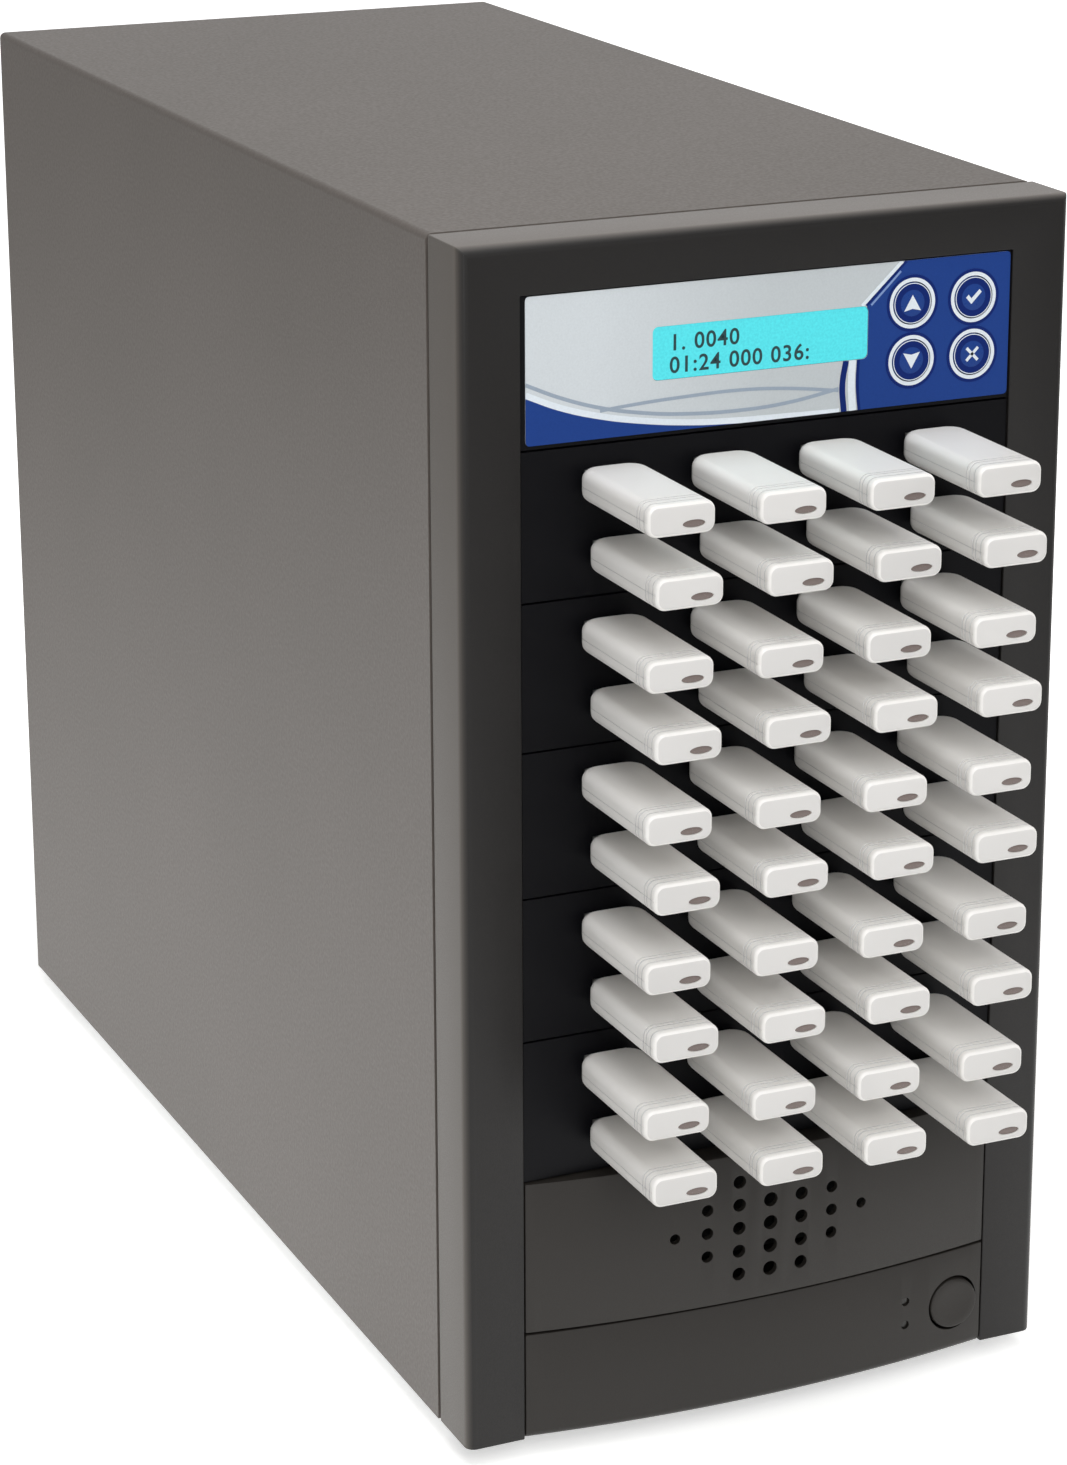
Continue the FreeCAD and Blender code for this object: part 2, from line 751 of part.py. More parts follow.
def make_chin_panel():
    """Bowed lower panel with the button's bore and the lamp holes."""
    high = chin_top - fit_gap
    z = case_bottom + button_height
    tray = bowed_tray(chin_bow, case_bottom, high)
    posts = []
    edge = front_board_width / 2 - boss_side / 2
    for x in (front_board_x - edge, lamp_x + lamp_diameter / 2 + boss_side - over):
        for rise in (-1, 1):
            post_z = z + rise * (front_board_height - boss_side) / 2
            start = bow_y(x + boss_side / 2, half_plate, chin_bow) + fascia_wall / 2
            posts.append(bar(x, post_z, boss_side, boss_side, start, front_board_y))
    rail_room = block(-half_bay - over, half_bay + over, bezel_rail_start - fit_gap,
                      bezel_depth + over, case_bottom - over,
                      case_bottom + bezel_skirt + fit_gap)
    bore = flat_sided_rod(button_x, z, button_diameter + 2 * button_gap, button_flats,
                          -chin_bow - over, button_front + button_body)
    cutters = [rail_room, bore]
    for rise in lamp_heights:
        cutters.append(flat_sided_rod(lamp_x, case_bottom + rise, lamp_diameter + 2 * lamp_gap,
                                      lamp_flats, -chin_bow - over, fascia_wall))
    return fused(tray, posts).cut(cutters)


def make_power_button():
    """Round cap with a bevelled rim, two retaining tabs and a square stem."""
    z = case_bottom + button_height
    cap = flat_sided_rod(button_x, z, button_diameter, button_flats, button_front, button_back)
    rim = [edge for edge in cap.Edges if abs(edge.CenterOfMass.y - button_front) < tiny]
    cap = cap.makeChamfer(button_edge, rim)
    tab_front = fascia_wall + bow_y(button_x + button_tab_width / 2,
                                    half_plate - fascia_wall, chin_bow) + button_tab_gap
    tabs = bar(button_x, z, button_tab_width, button_diameter + 2 * button_tab_reach,
               tab_front, button_back)
    stem = bar(button_x, z, button_stem_side, button_stem_side, button_back - over,
               button_back + button_stem_length)
    return fused(cap, [tabs, stem])


# ------------------------------------------------------------------ power supply
def make_supply_case():
    """Folded steel box with the fan grille and the cut-outs for inlet and switch."""
    front = supply_rear - supply_length
    case = bar(0, supply_z, supply_width, supply_height, front, supply_rear)
    inside = bar(0, supply_z, supply_width - 2 * sheet, supply_height - 2 * sheet,
                 front + sheet, supply_rear - sheet)
    cutters = [inside]
    reach = fan_bore / 2
    for row in range(grille_slots):
        rise = (row - (grille_slots - 1) / 2) * grille_slot_pitch
        chord = math.sqrt(reach ** 2 - (abs(rise) + grille_slot_width / 2) ** 2)
        length = chord - grille_rib / 2
        for side in (-1, 1):
            x = fan_x + side * (grille_rib + length) / 2
            cutters.append(bar(x, supply_z + rise, length, grille_slot_width,
                               supply_rear - 2 * sheet, supply_rear + over))
    cutters.append(bar(inlet_x, inlet_z, inlet_width + 2 * (inlet_wall + fit_gap),
                       inlet_height + 2 * (inlet_wall + fit_gap),
                       supply_rear - 2 * sheet, supply_rear + over))
    cutters.append(bar(inlet_x, rocker_z, rocker_slot_length + 2 * (rocker_frame + fit_gap),
                       rocker_slot_height + 2 * (rocker_frame + fit_gap),
                       supply_rear - 2 * sheet, supply_rear + over))
    return case.cut(cutters)


def make_fan_frame():
    """Square fan housing with its bore, motor mount and struts."""
    back = supply_rear - sheet
    front = back - fan_thickness
    mount_back = front + fan_mount_thickness
    body = bar(fan_x, supply_z, fan_side, fan_side, front, back)
    bore = flat_sided_rod(fan_x, supply_z, fan_bore, fan_bore_flats, front - over, back + over)
    body = body.cut(bore)
    hub = flat_sided_rod(fan_x, supply_z, fan_hub_diameter, fan_hub_flats, front, mount_back)
    span = fan_bore + over
    struts = [bar(fan_x, supply_z, fan_strut_width, span, front, mount_back),
              bar(fan_x, supply_z, span, fan_strut_width, front, mount_back)]
    bearing = rod(fan_x, supply_z, fan_shaft_diameter + 2 * fan_shaft_gap,
                  front - over, mount_back + over)
    return fused(body, [hub] + struts).cut(bearing)


def make_inlet():
    """Three-pin mains inlet: a flanged cup with two cut corners, and its blades."""
    face = supply_rear + inlet_flange
    floor = face - inlet_depth
    flange = bar(inlet_x, inlet_z, inlet_flange_width, inlet_flange_height, supply_rear, face)
    cup = bar(inlet_x, inlet_z, inlet_width + 2 * inlet_wall, inlet_height + 2 * inlet_wall,
              floor - inlet_wall, face)
    half_x, half_z = inlet_width / 2, inlet_height / 2
    cut = inlet_corner
    corners = [(-half_x, -half_z), (half_x, -half_z), (half_x, half_z - cut),
               (half_x - cut, half_z), (-half_x + cut, half_z), (-half_x, half_z - cut)]
    outline = [Vec(inlet_x + x, floor, inlet_z + z) for x, z in corners]
    cavity = extruded(outline, Vec(0, inlet_depth + over, 0))
    blades = []
    for x, rise in ((-inlet_pin_pitch, -inlet_pin_drop), (inlet_pin_pitch, -inlet_pin_drop),
                    (0, inlet_earth_rise)):
        blades.append(bar(inlet_x + x, inlet_z + rise, inlet_pin_width, inlet_pin_height,
                          floor - over, floor + inlet_pin_length))
    return fused(fused(flange, [cup]).cut(cavity), blades)


def make_switch_frame():
    """Frame of the rocker switch, with bearings for the rocker's two pins."""
    face = supply_rear + inlet_flange
    border = 2 * rocker_frame
    flange = bar(inlet_x, rocker_z, rocker_slot_length + 2 * border,
                 rocker_slot_height + 2 * border, supply_rear, face)
    cup = bar(inlet_x, rocker_z, rocker_slot_length + border, rocker_slot_height + border,
              face - rocker_slot_depth - rocker_frame, face)
    slot = bar(inlet_x, rocker_z, rocker_slot_length, rocker_slot_height,
               face - rocker_slot_depth, face + over)
    bearing = Part.makeCylinder(rocker_pin_diameter / 2 + rocker_pin_gap,
                                rocker_slot_height + 2 * rocker_frame - 2 * rocker_blind,
                                Vec(inlet_x, rocker_pivot_y, rocker_z - rocker_slot_height / 2
                                    - rocker_frame + rocker_blind), ALONG_Z)
    return fused(flange, [cup]).cut([slot, bearing])


def make_power_supply():
    """The supply with its fan housing, mains inlet and switch frame."""
    return group([make_supply_case(), make_fan_frame(), make_inlet(), make_switch_frame()])


def make_fan_blade(angle):
    """One blade: a pitched plate from inside the hub out to the tip."""
    tip = fan_bore / 2 - fan_tip_gap
    root = fan_hub_diameter / 2 - over
    half, skin = fan_blade_chord / 2, fan_blade_thickness / 2
    blade = block(-half, half, -skin, skin, root, tip)
    blade.rotate(Vec(0, 0, 0), ALONG_Z, fan_blade_pitch)
    blade.translate(Vec(0, fan_rotor_front + fan_hub_length / 2, 0))
    blade.rotate(Vec(0, 0, 0), ALONG_Y, angle)
    return blade.translated(Vec(fan_x, 0, supply_z))


def make_fan_rotor():
    """Hub, seven blades and the shaft that runs in the mount."""
    hub = flat_sided_rod(fan_x, supply_z, fan_hub_diameter, fan_hub_flats, fan_rotor_front,
                         fan_rotor_front + fan_hub_length)
    shaft = rod(fan_x, supply_z, fan_shaft_diameter, fan_rotor_front - fan_shaft_length,
                fan_rotor_front + over)
    blades = [make_fan_blade(index * 360 / fan_blades) for index in range(fan_blades)]
    return fused(hub, [shaft] + blades)


def make_psu_switch():
    """Rocker with a shallow valley in its face, resting tilted on its pins."""
    half = rocker_length / 2
    face = supply_rear + inlet_flange
    root_half = half * rocker_taper
    outline = []
    for x, y in ((-half, rocker_face), (0, rocker_face - rocker_valley), (half, rocker_face),
                 (root_half, -rocker_root), (-root_half, -rocker_root)):
        outline.append(Vec(inlet_x + x, face + y, rocker_z - rocker_height / 2))
    body = extruded(outline, Vec(0, 0, rocker_height))
    pin_reach = rocker_height / 2 + rocker_pin_length
    pins = Part.makeCylinder(rocker_pin_diameter / 2, 2 * pin_reach,
                             Vec(inlet_x, rocker_pivot_y, rocker_z - pin_reach), ALONG_Z)
    rocker = fused(body, [pins])
    rocker.rotate(Vec(inlet_x, rocker_pivot_y, rocker_z), ALONG_Z, rocker_tilt)
    return rocker


# ------------------------------------------------------------------ screws
def make_screw_head(x, y, z):
    """Hexagon head lying against the face at y."""
    radius = screw_head_width / math.sqrt(3)
    corners = []
    for step in range(6):
        angle = math.radians(60 * step)
        corners.append(Vec(x + radius * math.cos(angle), y, z + radius * math.sin(angle)))
    return extruded(corners, Vec(0, screw_head_height, 0))


def make_screws():
    """Screws of the cover, down both sides, and of the power supply, at its corners."""
    heads = []
    spacing = (case_height - 2 * cover_screw_margin) / (cover_screw_rows - 1)
    for side in (-1, 1):
        for row in range(cover_screw_rows):
            z = case_bottom + cover_screw_margin + row * spacing
            heads.append(make_screw_head(side * (half_case - rear_flange / 2), case_depth, z))
        for rise in (-1, 1):
            x = side * (supply_width / 2 - supply_screw_inset)
            z = supply_z + rise * (supply_height / 2 - supply_screw_inset)
            heads.append(make_screw_head(x, rear_panel_back, z))
    return group(heads)


# ------------------------------------------------------------------ assembly
def make_nodes():
    """Every node of the duplicator by name."""
    nodes = {
        "outer_cover": make_outer_cover(),
        "chassis": make_chassis(),
        "front_bezel": make_front_bezel(),
        "vent_panel": make_vent_panel(),
        "chin_panel": make_chin_panel(),
        "power_button": make_power_button(),
        "control_panel": make_control_panel(),
        "lcd_module": make_lcd_module(),
        "port_plates": make_port_plates(),
        "port_sockets": make_port_sockets(),
        "circuit_boards": make_circuit_boards(),
        "power_supply": make_power_supply(),
        "psu_switch": make_psu_switch(),
        "fan_rotor": make_fan_rotor(),
        "rubber_feet": make_rubber_feet(),
        "screws": make_screws(),
    }
    key = make_key()
    for name, (x, z) in key_places().items():
        nodes[name] = key.translated(Vec(x, 0, z))
    drive = make_drive()
    for number, (x, z) in enumerate(port_places(), start=1):
        nodes[f"drive_{number:02d}"] = drive.translated(Vec(x, 0, z))
    return nodes


os.makedirs("parts", exist_ok=True)
for node_name, shape in make_nodes().items():
    shape.translated(centre_shift).exportStep(f"parts/{node_name}.step")
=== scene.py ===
# %% [markdown]
# # A drive duplicator tower
# This machine copies one USB drive onto thirty-nine others at once. A steel tower holds the
# boards and a power supply, a moulded bezel frames the front, and forty white drives stand
# in the ports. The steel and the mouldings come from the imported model. Blender adds what
# the eye looks for: the drives, the keys, the printed film, the display and the finishes.

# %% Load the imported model
import bpy
import math
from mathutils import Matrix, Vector


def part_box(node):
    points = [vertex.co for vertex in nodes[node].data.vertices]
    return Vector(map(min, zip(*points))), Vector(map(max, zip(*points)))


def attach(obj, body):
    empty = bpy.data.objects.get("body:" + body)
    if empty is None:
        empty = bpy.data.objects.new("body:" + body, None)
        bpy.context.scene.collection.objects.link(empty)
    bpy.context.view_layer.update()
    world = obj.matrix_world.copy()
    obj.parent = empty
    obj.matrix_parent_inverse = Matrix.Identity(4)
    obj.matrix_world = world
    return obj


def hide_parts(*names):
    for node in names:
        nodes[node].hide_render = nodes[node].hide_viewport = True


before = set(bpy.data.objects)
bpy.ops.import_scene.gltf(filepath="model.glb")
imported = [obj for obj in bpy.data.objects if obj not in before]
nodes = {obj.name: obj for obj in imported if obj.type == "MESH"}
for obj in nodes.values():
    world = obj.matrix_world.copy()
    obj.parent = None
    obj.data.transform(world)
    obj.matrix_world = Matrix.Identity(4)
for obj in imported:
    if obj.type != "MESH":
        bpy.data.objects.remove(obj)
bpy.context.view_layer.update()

# %% [markdown]
# Every size below is written in millimetres, as a maker would say it, and turned into
# Blender's metres by one small factor. Colours are written as the 0 to 255 values that
# a screen shows, and turned into the linear light that a shader works with.

# %% Units and colours
mm = 0.001


def tone(red, green, blue):
    """A screen colour as linear light with full opacity."""
    linear = [((v / 255 + 0.055) / 1.055) ** 2.4 if v > 10 else v / 255 / 12.92
              for v in (red, green, blue)]
    return (*linear, 1.0)


print("Middle grey is", round(tone(128, 128, 128)[0], 3), "in linear light")

# %% [markdown]
# The camera stands to the left of the front and looks a little down on the tower. A long
# lens from well over a metre away keeps the upright edges nearly parallel. The small shift
# frames the tower without turning the camera.

# %% Camera
camera_place = Vector((-0.49178, -1.14082, 0.56513))
camera_turn = (73.2376, 0.0026, -24.4233)
camera_lens = 99.755
camera_shift = (-0.03174, -0.07679)

bpy.ops.object.camera_add(location=camera_place, rotation=[math.radians(a) for a in camera_turn])
camera = bpy.context.object
camera.name = "studio_camera"
camera.data.lens = camera_lens
camera.data.shift_x, camera.data.shift_y = camera_shift
camera.data.clip_start, camera.data.clip_end = 0.05, 50
bpy.context.scene.camera = camera
bpy.context.scene.view_settings.view_transform = "Standard"
print("Camera distance to the tower:", round(camera_place.length, 3), "m")

# %% [markdown]
# A material is a small chain of nodes. The helpers below start one, add nodes to it and
# join them, so that each finish further down reads as a short recipe. Patterns are laid out
# on Object coordinates, which are metres here, so a grain of half a millimetre stays that
# size on every piece.

# %% Material helpers
class Finish:
    """A material with a Principled shader, and helpers that add nodes to it."""

    def __init__(self, name, colour, roughness, metallic=0.0, specular=0.5):
        self.material = bpy.data.materials.new(name)
        self.material.use_nodes = True
        self.tree = self.material.node_tree
        self.shader = self.tree.nodes["Principled BSDF"]
        self.shader.inputs["Base Color"].default_value = colour
        self.shader.inputs["Roughness"].default_value = roughness
        self.shader.inputs["Metallic"].default_value = metallic
        self.shader.inputs["Specular IOR Level"].default_value = specular
        self.material.diffuse_color = colour
        self.place = self.tree.nodes.new("ShaderNodeTexCoord").outputs["Object"]

    def set(self, **values):
        for socket, value in values.items():
            self.shader.inputs[socket.replace("_", " ")].default_value = value
        return self

    def node(self, kind, **inputs):
        """A node with some inputs set, or linked where an output is given."""
        made = self.tree.nodes.new(kind)
        for socket, value in inputs.items():
            target = made.inputs[int(socket[1:]) if socket[0] == "i" and socket[1:].isdigit()
                                 else socket.replace("_", " ")]
            if isinstance(value, bpy.types.NodeSocket):
                self.tree.links.new(value, target)
            else:
                target.default_value = value
        return made

    def noise(self, scale, detail=2.0, stretch=None):
        """Noise in 0..1 whose features are about one over scale metres wide."""
        place = self.place
        if stretch:
            place = self.node("ShaderNodeMapping", Vector=place, Scale=stretch).outputs[0]
        return self.node("ShaderNodeTexNoise", Vector=place, Scale=scale,
                         Detail=detail).outputs["Fac"]

    def span(self, value, low, high, from_low=0.3, from_high=0.7):
        """Value stretched from one range onto another."""
        return self.node("ShaderNodeMapRange", Value=value, From_Min=from_low,
                         From_Max=from_high, To_Min=low, To_Max=high).outputs[0]

    def blend(self, amount, first, second):
        """A colour between two others."""
        mix = self.tree.nodes.new("ShaderNodeMix")
        mix.data_type = "RGBA"
        for socket, value in ((0, amount), (6, first), (7, second)):
            if isinstance(value, bpy.types.NodeSocket):
                self.tree.links.new(value, mix.inputs[socket])
            else:
                mix.inputs[socket].default_value = value
        return mix.outputs[2]

    def join(self, value, socket):
        self.tree.links.new(value, self.shader.inputs[socket])
        return self

    def bump(self, height, depth, strength=1.0):
        """Relief of some depth in metres."""
        made = self.node("ShaderNodeBump", Height=height, Strength=strength, Distance=depth)
        self.tree.links.new(made.outputs[0], self.shader.inputs["Normal"])


# %% [markdown]
# The cover is folded steel with a baked powder coat. Up close, such paint is never smooth:
# it dries into fine, shallow pebbles, and over a whole side the tone drifts a little. Two
# noises do this, a fine one for the relief and a broad one for the tone.

# %% Painted steel
def powder_coat(name, colour, darker):
    paint = Finish(name, colour, 0.5, specular=0.6)
    drift = paint.noise(9, detail=3)
    pores = paint.noise(900)
    tone_now = paint.blend(paint.span(drift, 0, 0.5), colour, darker)
    tone_now = paint.blend(paint.span(pores, 0, 0.35), tone_now, darker)
    paint.join(tone_now, "Base Color")
    paint.join(paint.span(pores, 0.46, 0.58), "Roughness")
    pebbles = paint.noise(1300, detail=3)
    paint.bump(pebbles, 0.00012, 0.6)
    return paint.material


cover_paint = powder_coat("cover_powder_coat", tone(99, 92, 87), tone(88, 82, 76))
print("The cover's paint has", len(cover_paint.node_tree.nodes), "nodes")

# %% [markdown]
# The bezel, the vent panel and the chin are moulded from dark plastic. The mould is
# spark-eroded, which leaves a matt grain of about a third of a millimetre. The grain is
# the same on every moulding, so one recipe makes them all, in slightly different tones.

# %% Moulded plastic
mould_grain = 2600                    # grains of the mould's texture to a metre


def moulded_plastic(name, colour, roughness=0.5, grain=0.00005, specular=0.4):
    plastic = Finish(name, colour, roughness, specular=specular)
    fine = plastic.noise(mould_grain)
    broad = plastic.noise(14)
    lighter = tuple(min(1.0, c * 1.25) for c in colour[:3]) + (1.0,)
    plastic.join(plastic.blend(plastic.span(broad, 0, 0.6), colour, lighter), "Base Color")
    plastic.join(plastic.span(fine, roughness - 0.05, roughness + 0.07), "Roughness")
    plastic.bump(fine, grain, 0.5)
    return plastic.material


def lit_to_shaded_plastic(name, side, front):
    """Plastic with painted light and shade: a lit side or top tone turns to a shaded front tone
    round a rounded edge.
    """
    plastic = Finish(name, side, 0.5, specular=0.33)
    facing = plastic.node("ShaderNodeSeparateXYZ",
                          Vector=plastic.node("ShaderNodeNewGeometry").outputs["Normal"])
    toward_shade = plastic.span(facing.outputs["Y"], 1, 0, -0.9, -0.25)
    plastic.join(plastic.blend(toward_shade, side, front), "Base Color")
    fine = plastic.noise(mould_grain)
    plastic.join(plastic.span(fine, 0.45, 0.57), "Roughness")
    plastic.bump(fine, 0.00005, 0.5)
    return plastic.material


# painted light and shade on the one bezel moulding: the front tone is painted shade, the top tone
# a painted highlight, the sides keep the cover's tone
shaded_front_tone = tone(20, 18, 17)
bezel_front = moulded_plastic("bezel_plastic", shaded_front_tone, specular=0.31)
bezel_side = lit_to_shaded_plastic("bezel_side_painted_shading", tone(99, 94, 89), shaded_front_tone)
bezel_highlit_top = lit_to_shaded_plastic("bezel_top_painted_highlight", tone(121, 116, 112), shaded_front_tone)
fascia_plastic = moulded_plastic("fascia_plastic", tone(33, 30, 27), specular=0.33)
plate_plastic = moulded_plastic("port_plate_plastic", tone(9, 9, 12), 0.42, specular=0.1)
black_plastic = moulded_plastic("black_plastic", tone(26, 26, 27), 0.4)
rubber = moulded_plastic("foot_rubber", tone(30, 29, 29), 0.8, grain=0.0001, specular=0.25)
print("Finishes so far:", len(bpy.data.materials))

# %% [markdown]
# Bare sheet steel is zinc-plated against rust. Zinc sets in crystals, called spangle, that
# are a few millimetres wide and each shine a little differently. Voronoi cells give every
# crystal its own roughness and tone. Small turned or pressed parts are smoother.

# %% Bare metals
def zinc_steel(name, colour, cell=260):
    steel = Finish(name, colour, 0.4, metallic=1.0)
    crystals = steel.node("ShaderNodeTexVoronoi", Vector=steel.place, Scale=cell)
    cell_value = steel.node("ShaderNodeSeparateColor", Color=crystals.outputs["Color"])
    value = cell_value.outputs[0]
    darker = tuple(c * 0.82 for c in colour[:3]) + (1.0,)
    steel.join(steel.blend(value, colour, darker), "Base Color")
    steel.join(steel.span(value, 0.34, 0.5, 0, 1), "Roughness")
    steel.bump(steel.noise(700), 0.00002, 0.3)
    return steel.material


def worked_metal(name, colour, roughness, stretch):
    metal = Finish(name, colour, roughness, metallic=1.0)
    lines = metal.noise(500, detail=3, stretch=stretch)
    metal.join(metal.span(lines, roughness - 0.06, roughness + 0.1), "Roughness")
    metal.bump(lines, 0.00001, 0.35)
    return metal.material


zinc = zinc_steel("zinc_steel", tone(176, 178, 178))
supply_zinc = zinc_steel("supply_zinc_steel", tone(160, 162, 163), 340)
screw_metal = worked_metal("nickel_screw", tone(190, 188, 182), 0.3, (1, 1, 6))
socket_metal = worked_metal("nickel_shell", tone(216, 216, 213), 0.36, (1, 8, 1))
brass = worked_metal("plated_brass", tone(205, 190, 150), 0.25, (1, 8, 1))
gold = worked_metal("gold_contact", tone(226, 178, 92), 0.25, (1, 8, 1))
print("Finishes so far:", len(bpy.data.materials))

# %% [markdown]
# A circuit board is glass cloth under green lacquer. The copper tracks under the lacquer
# stand up by a few hundredths of a millimetre and look lighter, in straight runs. Bricks
# with wide mortar are a quick stand-in for such runs.

# %% Boards and chips
def lacquered_board():
    board = Finish("green_board", tone(22, 92, 54), 0.35)
    tracks = board.node("ShaderNodeTexWave", Vector=board.place, Scale=220, Distortion=0)
    tracks.wave_profile = "TRI"
    across = board.node("ShaderNodeTexWave", Vector=board.place, Scale=110, Distortion=0)
    across.bands_direction = "Z"
    both = board.node("ShaderNodeMath", i0=tracks.outputs["Fac"], i1=across.outputs["Fac"])
    both.operation = "MULTIPLY"
    board.join(board.blend(board.span(both.outputs[0], 0, 1, 0.2, 0.5), tone(22, 92, 54),
                           tone(48, 128, 84)), "Base Color")
    board.bump(both.outputs[0], 0.00003, 0.5)
    return board.material


board_green = lacquered_board()

tongue_plastic = moulded_plastic("port_tongue_plastic", tone(24, 24, 26), 0.35)
chip_black = moulded_plastic("chip_black", tone(22, 22, 23), 0.5)
lamp_lens = moulded_plastic("lamp_lens", tone(34, 32, 29), 0.2, grain=0.00001)
print("Finishes so far:", len(bpy.data.materials))

# %% [markdown]
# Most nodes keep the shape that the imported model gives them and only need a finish. Where
# one node holds several materials, such as the metal shell and the black tongue of a port,
# each face gets its finish by its place.

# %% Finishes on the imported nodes
def paint(name, finish, *others):
    """Gives a node its main finish; each other is a finish and a test on a face."""
    mesh = nodes[name].data
    mesh.materials.clear()
    for material in (finish, *(other for other, _ in others)):
        mesh.materials.append(material)
    for face in mesh.polygons:
        face.material_index = 0
        for index, (_, test) in enumerate(others, start=1):
            if test(face.center, face.normal):
                face.material_index = index
                break


paint("outer_cover", cover_paint)
paint("chassis", zinc)
paint("control_panel", plate_plastic)
paint("port_plates", plate_plastic)
paint("psu_switch", black_plastic)
paint("fan_rotor", black_plastic)
paint("rubber_feet", rubber)
paint("screws", screw_metal)
print("Eight of", len(nodes), "nodes have their finish")

# %% [markdown]
# A port is a steel shell with a black tongue inside it. Boards carry black chips and sockets.
# The supply holds a black fan housing, a black mains inlet with bright blades and a black
# switch frame. Each face is found by the place that its piece has behind the front or in
# the supply.

# %% Tongues, chips and lamps
def centre_of(name):
    """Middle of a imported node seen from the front, as x and z."""
    low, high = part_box(name)
    return (low.x + high.x) / 2, (low.z + high.z) / 2


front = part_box("front_bezel")[0].y
drive_names = sorted(name for name in nodes if name.startswith("drive_"))
port_middles = [centre_of(name) for name in drive_names]
tongue_half, tongue_low, tongue_high = 5.5 * mm, 0.2 * mm, 1.8 * mm
lamp_middle, lamp_reach = 46.8 * mm, 1.3 * mm
hub_back, hub_top = front + 17.0 * mm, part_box("control_panel")[0].z
key_board_front = front + 11.0 * mm
boards_deep = front + 25 * mm
power_board_top, power_board_front = 30 * mm, front + 13.9 * mm
controller_front, board_thick = front + 60 * mm, 1.7 * mm


def on_tongue(c, n):
    return any(abs(c.x - x) < tongue_half and tongue_low < c.z - z < tongue_high
               for x, z in port_middles)


def on_lamp(c, n):
    return (c.z < power_board_top and abs(c.x - lamp_middle) < lamp_reach
            and c.y < power_board_front + 0.1 * mm)


def on_chip(c, n):
    hub = c.z < hub_top and hub_back < c.y < boards_deep
    switch = c.z > hub_top and c.y < key_board_front
    power = c.z < power_board_top and c.y < power_board_front
    stacked = c.y > boards_deep and n.z < 0.5 and c.z > controller_top
    return hub or switch or power or stacked or (c.y > boards_deep and c.z > controller_top + mm)


controller_top = min(face.center.z for face in nodes["circuit_boards"].data.polygons
                     if face.center.y > controller_front) + board_thick
paint("port_sockets", socket_metal, (tongue_plastic, on_tongue))
paint("circuit_boards", board_green, (lamp_lens, on_lamp), (chip_black, on_chip))
print("Found", len(port_middles), "ports")

# %% Parts of the supply
supply_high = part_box("power_supply")[1]
supply_z = centre_of("power_supply")[1]
supply_rear = supply_high.y - 2 * mm
fan_x = centre_of("fan_rotor")[0]
fan_half, fan_deep = 40 * mm, 26 * mm
inlet_x = supply_high.x - 26 * mm
inlet_z = supply_z + 17 * mm
inlet_half, inlet_high, inlet_deep = 15.1 * mm, 10 * mm, 20 * mm
switch_high, switch_drop = 9 * mm, 15 * mm
opening_half, sheet = 13.7 * mm, 1.0 * mm
blade_wide, blade_high = 1.0 * mm, 2.0 * mm
blades = ((-7 * mm, -mm), (7 * mm, -mm), (0, 3 * mm))
near, slack = 0.01 * mm, 0.1 * mm      # closer than this counts as touching


def on_fan(c, n):
    reach = fan_half + slack
    beside = abs(c.x - fan_x) < reach and abs(c.z - supply_z) < reach
    inside = supply_rear - fan_deep - slack < c.y < supply_rear - sheet + slack
    wall = c.y > supply_rear - sheet - near and n.y < 0.5
    return beside and inside and not wall


def on_blade(c, n):
    return c.y < supply_rear and any(abs(c.x - inlet_x - x) < blade_wide + near
                                     and abs(c.z - inlet_z - z) < blade_high + near
                                     for x, z in blades)


def on_black(c, n):
    beside = abs(c.x - inlet_x)
    block = beside < inlet_half and c.y > supply_rear - inlet_deep
    inlet = abs(c.z - inlet_z) < inlet_high
    switch = abs(c.z - supply_z + switch_drop) < switch_high
    cut_edge = (abs(c.y - supply_rear + sheet / 2) < sheet / 2 - near and abs(n.y) < 0.1
                and beside > opening_half)
    return block and (c.y > supply_rear + near or inlet or switch) and not cut_edge


paint("power_supply", supply_zinc, (brass, on_blade), (black_plastic, on_fan),
      (black_plastic, on_black))
print("The supply's middle is", round(supply_z / mm, 1), "mm up")

# %% [markdown]
# New pieces are modelled at their real place, in metres, straight in the tower's frame.
# Each starts as a primitive and is shaped in edit mode. The helpers below pick edges and
# faces by where they are, which is what a hand would do with the mouse.

# %% Modelling helpers
def edit():
    bpy.ops.object.mode_set(mode="EDIT")


def done():
    bpy.ops.object.mode_set(mode="OBJECT")


def alone(piece):
    """Makes a piece the only one selected, and the active one."""
    bpy.ops.object.select_all(action="DESELECT")
    piece.select_set(True)
    bpy.context.view_layer.objects.active = piece


def start_box(name, low, high):
    """A box between two corners, with its place in its mesh."""
    bpy.ops.object.select_all(action="DESELECT")
    middle = [(a + b) / 2 for a, b in zip(low, high)]
    bpy.ops.mesh.primitive_cube_add(size=1, location=middle,
                                    scale=[b - a for a, b in zip(low, high)])
    piece = bpy.context.object
    piece.name = name
    settle(piece)
    return piece


def start_rod(name, centre, radius, y_low, y_high, sides=48):
    """A round bar along Y, centred on x and z."""
    bpy.ops.object.select_all(action="DESELECT")
    middle = (centre[0], (y_low + y_high) / 2, centre[1])
    bpy.ops.mesh.primitive_cylinder_add(vertices=sides, radius=radius, depth=y_high - y_low,
                                        location=middle, rotation=(math.pi / 2, 0, 0))
    piece = bpy.context.object
    piece.name = name
    settle(piece)
    return piece


def settle(piece):
    """Puts a piece's place, turn and size into its mesh."""
    alone(piece)
    bpy.ops.object.transform_apply(location=True, rotation=True, scale=True)


